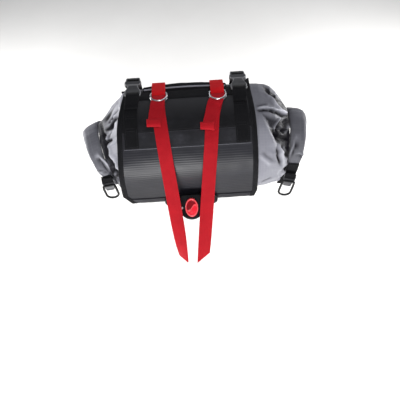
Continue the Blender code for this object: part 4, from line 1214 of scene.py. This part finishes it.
def arch_point(side, along, off):
    """A point on the mouth's arch: along from the rider's tip (0) to the front tip (1), off outward."""
    leg, bow = MOUTH_LEG[side], math.pi * MOUTH_ARCH_RADIUS
    distance = along * arch_length(side)
    radius = MOUTH_ARCH_RADIUS + off
    if distance < leg:
        return Vector((0.0, -radius, distance - leg - MOUTH_ARCH_DROP))
    if distance > leg + bow:
        return Vector((0.0, radius, leg + bow - distance - MOUTH_ARCH_DROP))
    angle = (distance - leg) / MOUTH_ARCH_RADIUS
    rise = (radius - ARCH_SETTLE[side]) * math.sin(angle)
    return Vector((0.0, -radius * math.cos(angle), rise - MOUTH_ARCH_DROP))


def peak(along):
    """0 at the roll's tips and 1 over its fold, just in front of its top."""
    share = along / PEAK_PLACE if along < PEAK_PLACE else (1 - along) / (1 - PEAK_PLACE)
    return share + PEAK_ROUNDING * share * (1 - share)


def mouth_x(side, along):
    return side * (MOUTH_REACH[side] + ROLL_LEAN[side] * peak(along))


def sections(table, count):
    """Even steps through a table of way and flat."""
    made = []
    for index in range(count + 1):
        position = (len(table) - 1) * index / count
        low = min(int(position), len(table) - 2)
        share = position - low
        made.append([a + (b - a) * share for a, b in zip(table[low], table[low + 1])])
    return made


def bag_point(side, way, flat, share):
    """A point of the dry bag, with share how far round its section, and its turn, in the bag axis's frame."""
    over = share < 0.5
    along = 2 * share if over else 2 - 2 * share
    turn = TIP_TURN + (180.0 - 2 * TIP_TURN) * along
    if not over:
        turn = TIP_TURN - (180.0 + 2 * TIP_TURN) * along
    outward, _ = direction(turn)
    off = MOUTH_THICKNESS / 2 * (1 if over else -1)
    point = (outward * BAG_RADIUS).lerp(arch_point(side, along, off), flat)
    point.x = mouth_x(side, along) * flat**2 + way * mouth_x(side, 0.0) * (1 - flat**2)
    return point, turn, along


def gathers(side, turn, flat, way):
    """Pleats that run into the mouth, and soft crumples, as a height along the cloth's normal."""
    radians = math.radians(turn)
    place = Vector((side * 3.0 + way * 1.2, math.cos(radians) * 2.6, math.sin(radians) * 2.6))
    wander = noise.noise(place) * 1.4
    pleat = math.sin(radians * 17 + wander * 3.0) + 0.5 * math.sin(radians * 31 + wander * 5.0)
    rise = 4 * flat * (1 - flat)
    crumple = noise.noise(place * 2.1) + 0.5 * noise.noise(place * 4.7) + 0.25 * abs(noise.noise(place * 9.0))
    free = smooth(flat, 0.0, 0.12)
    ridged = 1 - 2 * abs(noise.noise(Vector((side * 5.0 + way * 2.0, turn * 0.045, 1.0 + flat))))
    return 0.0014 * rise * pleat + 0.0022 * free * crumple + 0.0030 * free * (ridged - 0.5)


def facing(normal, point):
    """How squarely a point's cloth faces the photograph's camera: 0 beside or behind, 1 towards it."""
    return smooth(normal.dot((VIEW_PLACE - point).normalized()), 0.05, 0.30)


FOLD_SCALE = 1.5


def fold_marks(folds, seen):
    """What the photograph's folds add at a place in the picture: height, and painted shade in the valleys and
    painted highlights on the ridges.
    """
    height, painted_light = 0.0, 0.0
    for start, end, width, depth, ridge, side in folds:
        run = Vector(end) - Vector(start)
        length = run.length
        ahead = run / length
        reach = Vector(seen) - Vector(start)
        share = reach.dot(ahead) / length
        if not -0.25 < share < 1.25:
            continue
        off = (reach.x * ahead.y - reach.y * ahead.x) * -side
        if abs(off) > 7 * width:
            continue
        off += 0.9 * noise.noise(Vector((share * 2.2, start[0] * 0.37, start[1] * 0.21)))
        fade = smooth(share, -0.12, 0.25) * (1 - smooth(share, 0.72, 1.12))
        valley = fade * math.exp(-(abs(off) / width) ** 1.4)
        crest = fade * bell(off, 2.0 * width, 1.1 * width)
        height += ridge * crest - depth * valley
        painted_light += RIDGE_HIGHLIGHT * ridge * crest - FOLD_SHADE * depth * valley
    return FOLD_SCALE * height, painted_light


def pit_marks(seen):
    """What the buckled places add at a place in the picture: height and painted shade."""
    height, painted_light = 0.0, 0.0
    for *corners, depth, width, dark in PITS:
        inside = width
        for (x0, y0), (x1, y1) in zip(corners, corners[1:] + corners[:1]):
            across = (x1 - x0) * (seen[1] - y0) - (y1 - y0) * (seen[0] - x0)
            inside = min(inside, across / math.hypot(x1 - x0, y1 - y0))
        if inside > 0:
            share = smooth(inside, -0.15 * width, width)
            height -= depth * share
            painted_light -= dark * smooth(inside, 0.0, 0.6 * width)
    return height, painted_light


def displaced(points, normals, heights):
    return [point + normal * height for point, normal, height in zip(points, normals, heights)]


def grid_normals(points, rows, columns, closed):
    """Normals of a grid of points, row by row; closed where the columns run all the way round."""
    normals = []
    for row in range(rows):
        for column in range(columns):
            before, after = column - 1, column + 1
            if closed:
                before, after = before % columns, after % columns
            else:
                before, after = max(0, before), min(columns - 1, after)
            across = points[row * columns + after] - points[row * columns + before]
            low, high = max(0, row - 1), min(rows - 1, row + 1)
            onward = points[high * columns + column] - points[low * columns + column]
            normals.append(across.cross(onward).normalized())
    middle = sum(points, Vector()) / len(points)
    if sum(normal.dot(point - middle) for normal, point in zip(normals, points)) < 0:
        normals = [-normal for normal in normals]
    return normals


def make_dry_bag():
    stations = [(-1, way, flat) for way, flat in reversed(sections(LEFT_END, 40))]
    middle_start = len(stations)
    stations += [(1, way, flat) for way, flat in sections(RIGHT_END, 48)]
    inner_steps = 10
    points, uvs, marks = [], [], []
    rows = []
    for side, way, flat in stations:
        rows.append([(*bag_point(side, way, flat, (index + 0.5) / BAG_AROUND), side, way, flat)
                     for index in range(BAG_AROUND)])
    left, right = rows[middle_start - 1], rows[middle_start]
    between = []
    for step in range(1, inner_steps):
        share = step / inner_steps
        between.append([(a[0].lerp(b[0], share), a[1], a[2], 1, 0.0, 0.0) for a, b in zip(left, right)])
    rows = rows[:middle_start] + between + rows[middle_start:]
    for row in rows:
        for point, turn, along, side, way, flat in row:
            points.append(AXIS + point)
            uvs.append((point.x, math.radians(turn) * BAG_RADIUS))
            marks.append((turn, side, way, flat))
    normals = grid_normals(points, len(rows), BAG_AROUND, True)
    heights, painted_light = [], []
    for point, normal, (turn, side, way, flat) in zip(points, normals, marks):
        x = point.x
        bare = smooth(abs(x), CRADLE_HALF_WIDTH - 0.006, CRADLE_HALF_WIDTH + 0.006)
        height = relief(max(-CRADLE_HALF_WIDTH, min(CRADLE_HALF_WIDTH, x)), turn) * (1 - bare)
        at_mouth = 1 - smooth(flat, 0.86, 1.0)
        height += gathers(side, turn, flat, way) * bare * at_mouth
        seen = in_picture(point)
        photo = facing(normal, point) * bare * at_mouth
        (fold, fold_painted_light), (pit, pit_painted_light) = fold_marks(FOLDS, seen), pit_marks(seen)
        heights.append(height + photo * (fold + pit))
        # Painted shade: darker towards the rolled mouth and over the right end's top, with the folds' and pits'
        # painted shade and highlights added
        mouth_and_top_shade = 0.46 * smooth(flat, 0.50, 0.95) + TOP_SHADE[side] * smooth(turn, 48.0, 80.0)
        painted_light.append(clamped(0.5 - mouth_and_top_shade + photo * (fold_painted_light + pit_painted_light)))
    outer = displaced(points, normals, heights)
    inner_normals = grid_normals(outer, len(rows), BAG_AROUND, True)
    inner = displaced(outer, inner_normals, [-BAG_WALL] * len(outer))
    faces = ring_faces(len(rows), BAG_AROUND)
    offset = len(outer)
    faces += [tuple(corner + offset for corner in reversed(face)) for face in faces]
    for row, flip in ((0, True), (len(rows) - 1, False)):
        for column in range(BAG_AROUND):
            after = (column + 1) % BAG_AROUND
            a, b = row * BAG_AROUND + column, row * BAG_AROUND + after
            face = (a, b, b + offset, a + offset)
            faces.append(face[::-1] if flip else face)
    bag = new_piece("dry_bag_cloth", outer + inner, faces, uvs + uvs, GREY_CLOTH)
    add_painted_light(bag, painted_light + painted_light)
    dress("grey_cloth", "dry_bag")


ROLL_TURNS = 3.6
ROLL_PITCH = 0.0021
ROLL_POINTS = 30
ROLL_ROWS = 84
ROLL_SAG = {-1: (0.42, 0.30), 1: (0.16, 0.10)}


def roll_section(wound, wide):
    """A place on the flattened spiral: how far out along the bag from the mouth, and off the arch."""
    inset = ROLL_PITCH * wound
    angle = math.pi - 2 * math.pi * wound
    across, off = math.cos(angle), math.sin(angle)
    half = max(0.0004, wide / 2 - inset)
    thick = max(0.0003, ROLL_THICKNESS / 2 - inset)
    return (wide / 2 + math.copysign(abs(across) ** 0.45, across) * half,
            math.copysign(abs(off) ** 0.75, off) * thick)


def make_roll(label, side):
    """The rolled mouth: cloth wound into a flat spiral that is folded over in an arch."""
    width = ROLL_WIDTH[side]
    forward, down = ROLL_SAG[side]
    columns = int(ROLL_TURNS * ROLL_POINTS) + 1
    outer, uvs, marks = [], [], []
    for row in range(ROLL_ROWS + 1):
        along = row / ROLL_ROWS
        wide = width * (ROLL_LEG_SHARE + (1 - ROLL_LEG_SHARE) * peak(along) ** ROLL_SHARPNESS[side])
        tip = min(along, 1 - along) * arch_length(side)
        pinch = 1 - 0.28 * math.exp(-tip / 0.008)
        for column in range(columns):
            wound = column / ROLL_POINTS
            across, off = roll_section(wound, wide)
            loose = 1 + 0.10 * noise.noise(Vector((along * 5, wound * 2.2, side * 2.0)))
            point = arch_point(side, along, off * loose * pinch)
            slump = across * peak(along) * 0.9
            x = mouth_x(side, along) + side * (MOUTH_CLEARANCE + across * pinch)
            point += Vector((x, -forward * slump, -down * slump))
            outer.append(AXIS + point)
            uvs.append((along * arch_length(side), wound * 0.09))
            marks.append((along, wound))
    rows = ROLL_ROWS + 1
    normals = grid_normals(outer, rows, columns, False)
    heights, painted_light = [], []
    for index, (point, normal, (along, wound)) in enumerate(zip(outer, normals, marks)):
        place = Vector((along * 9, math.sin(2 * math.pi * wound) * 0.8, side * 4.0))
        dent = 0.0010 * noise.noise(place) + 0.0005 * noise.noise(place * 2.9)
        bar = 0.0008 * (1 - 2 * abs(noise.noise(Vector((along * 16, wound * 0.8, side * 7.0)))))
        outermost = 1 - smooth(wound, 0.9, 1.6)
        fold, fold_painted_light = fold_marks(ROLL_FOLDS, in_picture(point))
        photo = facing(normal, point) * outermost
        heights.append(dent + bar * outermost + photo * fold)
        # Painted shade over the right roll, with the folds' painted shade and highlights added
        painted_light.append(clamped(0.5 - ROLL_SHADE[side] + photo * fold_painted_light))
    outer = displaced(outer, normals, heights)
    inner = displaced(outer, normals, [-BAG_WALL] * len(outer))
    grid = [outer[row * columns:(row + 1) * columns] for row in range(rows)]
    under = [inner[row * columns:(row + 1) * columns] for row in range(rows)]
    cloth = [uvs[row * columns:(row + 1) * columns] for row in range(rows)]
    roll = closed_sheet("roll_" + label + "_cloth", grid, under, cloth, ROLL_CLOTH)
    add_painted_light(roll, painted_light + painted_light)
    dress("grey_cloth", "roll_" + label)
    arch_length(side)


# Hardware at the two ends

END_WEBBING_WIDTH = 0.022
END_HANG_TURN = 15.7
END_HANG = {-1: 0.004, 1: 0.012}
END_RISE = {-1: 0.0255, 1: 0.010}
END_LEAN = {-1: 8.0, 1: -17.0}
END_BUCKLE_CLEARANCE = 0.0008

# How far up the mouth's arch from its foot, in shares of the arch, the tab's webbing is laid
END_TAB_PLACES = {-1: (0.03, 0.015), 1: (0.09, 0.06, 0.03)}

# The short webbing leg beside the right end buckle: places down, across and off from the buckle's bar
LEG_WIDTH = 0.012
LEG_PLACES = ((-0.030, -0.0215, 0.0060), (-0.020, -0.0225, 0.0085), (-0.008, -0.0215, 0.0090),
              (0.006, -0.0185, 0.0070), (0.016, -0.0155, 0.0050))

# The end buckles: places down from the tab's bar, with half their width and their thickness
END_OUTLINE = ((-0.0030, 0.0118, 0.0040), (0.0000, 0.0128, 0.0044), (0.0060, 0.0128, 0.0050),
               (0.0085, 0.0106, 0.0062), (0.0160, 0.0092, 0.0060), (0.0200, 0.0086, 0.0050),
               (0.0230, 0.0060, 0.0036))
END_SLOT = (0.0016, 0.0052)
END_RING_WIRE = 0.0046
END_RING_HALF = 0.0118
END_RING_SHIFT = {-1: (0.0040, -0.0035), 1: (-0.0020, -0.0080)}


def make_end_tab(label, side):
    """The webbing tab on the rolled mouth's rider end, its buckle and the ring below, and the right's leg."""
    outward, up = direction(END_HANG_TURN)
    inset = side * (MOUTH_CLEARANCE + END_WEBBING_WIDTH / 2)
    hang = END_HANG[side]
    off = ROLL_THICKNESS / 2 + GAP + WEBBING_THICKNESS / 2 + 0.0012
    foot_along = END_RISE[side] / arch_length(side)
    x = mouth_x(side, foot_along) + inset
    foot = arch_point(side, foot_along, ROLL_THICKNESS / 2 + GAP + WEBBING_THICKNESS / 2)
    bar = foot - up * hang + outward * (BEND_RADIUS + END_BUCKLE_CLEARANCE)
    bend = bend_points(bar, BEND_RADIUS, END_HANG_TURN, -90.0, -270.0)
    path = []
    for along in END_TAB_PLACES[side]:
        higher = foot_along + along
        path.append(AXIS + arch_point(side, higher, off) + sideways(mouth_x(side, higher) + inset))
    hanging = [foot, foot - up * hang * 0.4] + bend
    hanging += [bar + outward * BEND_RADIUS + up * BEND_RADIUS * share for share in (1.5, 3.0)]
    tilt = Matrix.Rotation(math.radians(END_LEAN[side]), 4, outward)
    swing = Matrix.Translation(foot) @ tilt @ Matrix.Translation(-foot)
    hanging = [AXIS + sideways(x) + swing @ point for point in hanging]
    turned = swing.to_3x3()
    across = turned @ sideways(1.0)
    sides = [sideways(1.0)] * len(path) + [across] * len(hanging)
    tab = strap("end_tab_" + label + "_tape", path + hanging, END_WEBBING_WIDTH, WEBBING_THICKNESS,
                BLACK_WEBBING, sides)
    dress("black_webbing", "end_tab_" + label)
    start, down = AXIS + sideways(x) + swing @ bar, -(turned @ up)

    def place_at(along, beside_it, lift):
        return start + down * along + across * beside_it + outward * lift

    plate = moulded_plate("end_buckle_" + label + "_shell", END_OUTLINE, END_OUTLINE[0][0],
                          END_OUTLINE[-1][0], (END_SLOT,), place_at, DARK_PLASTIC, 0.0012)
    dress("dark_plastic", "end_buckle_" + label)
    low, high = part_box("end_ring_" + label)
    top = start + down * 0.0085 + outward * 0.0052
    shift_x, shift_z = END_RING_SHIFT[side]
    bottom = Vector(((low[0] + high[0]) / 2 + shift_x, top.y + 0.002, low[2] + shift_z))
    hung = (bottom - top).normalized()
    level = (across - hung * across.dot(hung)).normalized()
    wire = d_shape(top, level, hung, END_RING_HALF, (bottom - top).length)
    ring = tube("end_ring_" + label + "_wire", wire, END_RING_WIRE / 2, BLACK_STEEL)
    dress("black_steel", "end_ring_" + label)
    if side > 0:
        leg = strap("end_tab_right_leg", [place_at(*place) for place in LEG_PLACES], LEG_WIDTH,
                    WEBBING_THICKNESS, BLACK_WEBBING)


# The release button

def make_button():
    """The oval button: a raised rim, and a finger recess that an S-shaped step crosses."""
    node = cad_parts["release_button"]
    corners = [node.matrix_world @ vertex.co for vertex in node.data.vertices]
    level = sideways(1.0)
    outward = Vector((0.0, -math.sqrt(0.5), math.sqrt(0.5)))
    upward = outward.cross(level) * -1
    if upward.z < 0:
        upward = -upward
    spans = []
    for way in (level, upward, outward):
        places = [corner.dot(way) for corner in corners]
        spans.append((min(places), max(places)))
    middle = sum((way * (low + high) / 2 for way, (low, high) in zip((level, upward), spans)), Vector())
    half_wide, half_high = ((high - low) / 2 for low, high in spans[:2])
    face, back = spans[2][1], spans[2][0]
    rings, around = 34, 96
    verts, uvs, painted_light = [], [], []
    for ring in range(rings + 1):
        reach = ring / rings
        for step in range(around):
            angle = 2 * math.pi * step / around
            u, v = reach * math.cos(angle), reach * math.sin(angle)
            rim = bell(reach, 0.90, 0.055)
            step_line = v - 0.06 - 0.30 * math.sin(u * 3.2)
            inside = (1 - smooth(reach, 0.72, 0.84)) * (1 - smooth(u, 0.45, 0.75))
            upper = smooth(step_line, -0.05, 0.08) * inside
            dish = 0.0010 * (1 - smooth(reach, 0.0, 0.86))
            height = 0.0006 * rim - dish - 0.0015 * upper - 0.0010 * smooth(reach, 0.95, 1.0)
            verts.append(middle + level * u * half_wide + upward * v * half_high + outward * (face + height))
            uvs.append((u * half_wide, v * half_high))
            # Painted highlights on the raised rim and along the step's edge, painted shade in the sunken part of the
            # recess
            ridge = bell(step_line, -0.10, 0.07) * (1 - smooth(reach, 0.70, 0.82))
            painted_light.append(min(1.0, 0.5 + 0.34 * rim + 0.20 * ridge - 0.40 * upper))
    for step in range(around):
        angle = 2 * math.pi * step / around
        verts.append(middle + level * half_wide * math.cos(angle) + upward * half_high * math.sin(angle)
                     + outward * back)
        uvs.append((0.0, step * 0.0005))
        painted_light.append(0.5)
    faces = ring_faces(rings + 2, around)
    faces.append(tuple((rings + 1) * around + step for step in range(around)))
    button = new_piece("button_face", verts, faces, uvs, RED_PLASTIC, "button")
    add_painted_light(button, painted_light)
    dress("red_plastic", "release_button")


# The camera, the light and the floor

def towards(azimuth, elevation):
    """The direction from the bag to what stands at an azimuth and an elevation in degrees."""
    a, e = math.radians(azimuth), math.radians(elevation)
    return Vector((math.sin(a) * math.cos(e), -math.cos(a) * math.cos(e), math.sin(e)))


def view_axes():
    """The camera's right, up and back directions."""
    back = towards(VIEW_AZIMUTH, VIEW_ELEVATION)
    level = towards(VIEW_AZIMUTH + 90.0, 0.0)
    upright = back.cross(level)
    roll = math.radians(VIEW_ROLL)
    right = level * math.cos(roll) + upright * math.sin(roll)
    return right, upright * math.cos(roll) - level * math.sin(roll), back


VIEW_RIGHT, VIEW_UP, VIEW_BACK = view_axes()
VIEW_PLACE = AXIS + VIEW_BACK * VIEW_DISTANCE


def in_picture(point):
    """Where a point lies in the photograph's frame, in pixels."""
    offset = point - VIEW_PLACE
    scale = LENS / SENSOR * IMAGE_SIDE / -offset.dot(VIEW_BACK)
    x, y = MIDDLE_IN_IMAGE
    return x + scale * offset.dot(VIEW_RIGHT), y - scale * offset.dot(VIEW_UP)


def make_view():
    right, up, back = VIEW_RIGHT, VIEW_UP, VIEW_BACK
    x, y = MIDDLE_IN_IMAGE
    camera = added("camera", bpy.data.cameras.new("camera"))
    camera.matrix_world = Matrix((right, up, back)).transposed().to_4x4()
    camera.location = VIEW_PLACE
    configured(camera.data, lens=LENS, sensor_width=SENSOR, shift_x=0.5 - x / IMAGE_SIDE,
               shift_y=y / IMAGE_SIDE - 0.5, clip_start=0.05, clip_end=30.0)
    bpy.context.scene.camera = camera


def add_light(name, azimuth, elevation, distance, size, power, colour):
    """A square light that faces the bag from an azimuth and an elevation in degrees."""
    back = towards(azimuth, elevation)
    light = added(name, bpy.data.lights.new(name, "AREA"))
    configured(light.data, size=size, energy=power, color=colour)
    return configured(light, location=AXIS + back * distance, rotation_mode="QUATERNION",
                      rotation_quaternion=back.to_track_quat("Z", "Y"))


# Each light that faces the bag: azimuth and elevation in degrees, distance and size in metres, watts, colour
LIGHTS = (
    ("key_light", -6.0, -14.0, 1.3, 0.40, 14.0, (1.0, 1.0, 1.0)),
    ("top_light", 10.0, 55.0, 1.6, 0.5, 9.5, (1.0, 1.0, 1.0)),
    ("back_light", 160.0, 45.0, 1.5, 0.7, 3.0, (0.95, 0.97, 1.0)),
)
FLOOR_LIGHTS = (("left_floor_light", -1.05), ("right_floor_light", 1.05))
SKY_COLOUR = (0.90, 0.93, 1.0, 1.0)
SKY_STRENGTH = 0.25


def make_stage():
    floor_shade = Shade("floor_plaster", 0.85)
    stains = floor_shade.noise(3.0, 4.0)
    floor_shade.colour(floor_shade.ramp(stains, [(0.3, (0.74, 0.73, 0.71)), (0.7, (0.78, 0.77, 0.75))]))
    shell = bmesh.new()
    bmesh.ops.create_grid(shell, x_segments=1, y_segments=1, size=6.0)
    mesh = bpy.data.meshes.new("floor")
    shell.to_mesh(mesh)
    shell.free()
    mesh.materials.append(floor_shade.material)
    floor = added("floor", mesh)
    floor.location.z = FLOOR_Z
    floor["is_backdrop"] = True
    world = bpy.data.worlds.new("studio")
    world.use_nodes = True
    world.node_tree.nodes["Background"].inputs[0].default_value = SKY_COLOUR
    world.node_tree.nodes["Background"].inputs[1].default_value = SKY_STRENGTH
    bpy.context.scene.world = world
    for light in LIGHTS:
        add_light(*light)
    for name, x in FLOOR_LIGHTS:
        lamp = add_light(name, 0.0, 90.0, 0.0, 0.8, 24.0, (1.0, 1.0, 1.0))
        lamp.location = (x, 0.5, -0.16)
        lamp.rotation_quaternion = Vector((x * 0.9, 0.0, 0.46)).to_track_quat("Z", "Y")
    bpy.context.scene.view_settings.view_transform = "Standard"


NODE_MATERIALS = (
    ("bag_plate", BLACK_PLASTIC), ("bracket_housing", BLACK_PLASTIC), ("housing_screw", STEEL),
)


def paint_nodes():
    for name, material in NODE_MATERIALS:
        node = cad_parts[name]
        node.data.materials.clear()
        node.data.materials.append(material)


make_view()
make_stage()
paint_nodes()
make_cradle()
make_rim()
make_black_webbing()
make_tacks()
for LABEL, SIDE in SIDES:
    make_red_loop(LABEL, SIDE)
    make_rings(LABEL, SIDE)
    make_red_strap(LABEL, SIDE)
    make_roll(LABEL, SIDE)
    make_end_tab(LABEL, SIDE)
    make_top_buckle(LABEL, SIDE)
make_button()
make_dry_bag()

boxes = {name: [list(corner) for corner in box] for name, box in (("solids", SOLID_BOX), ("scene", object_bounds()))}
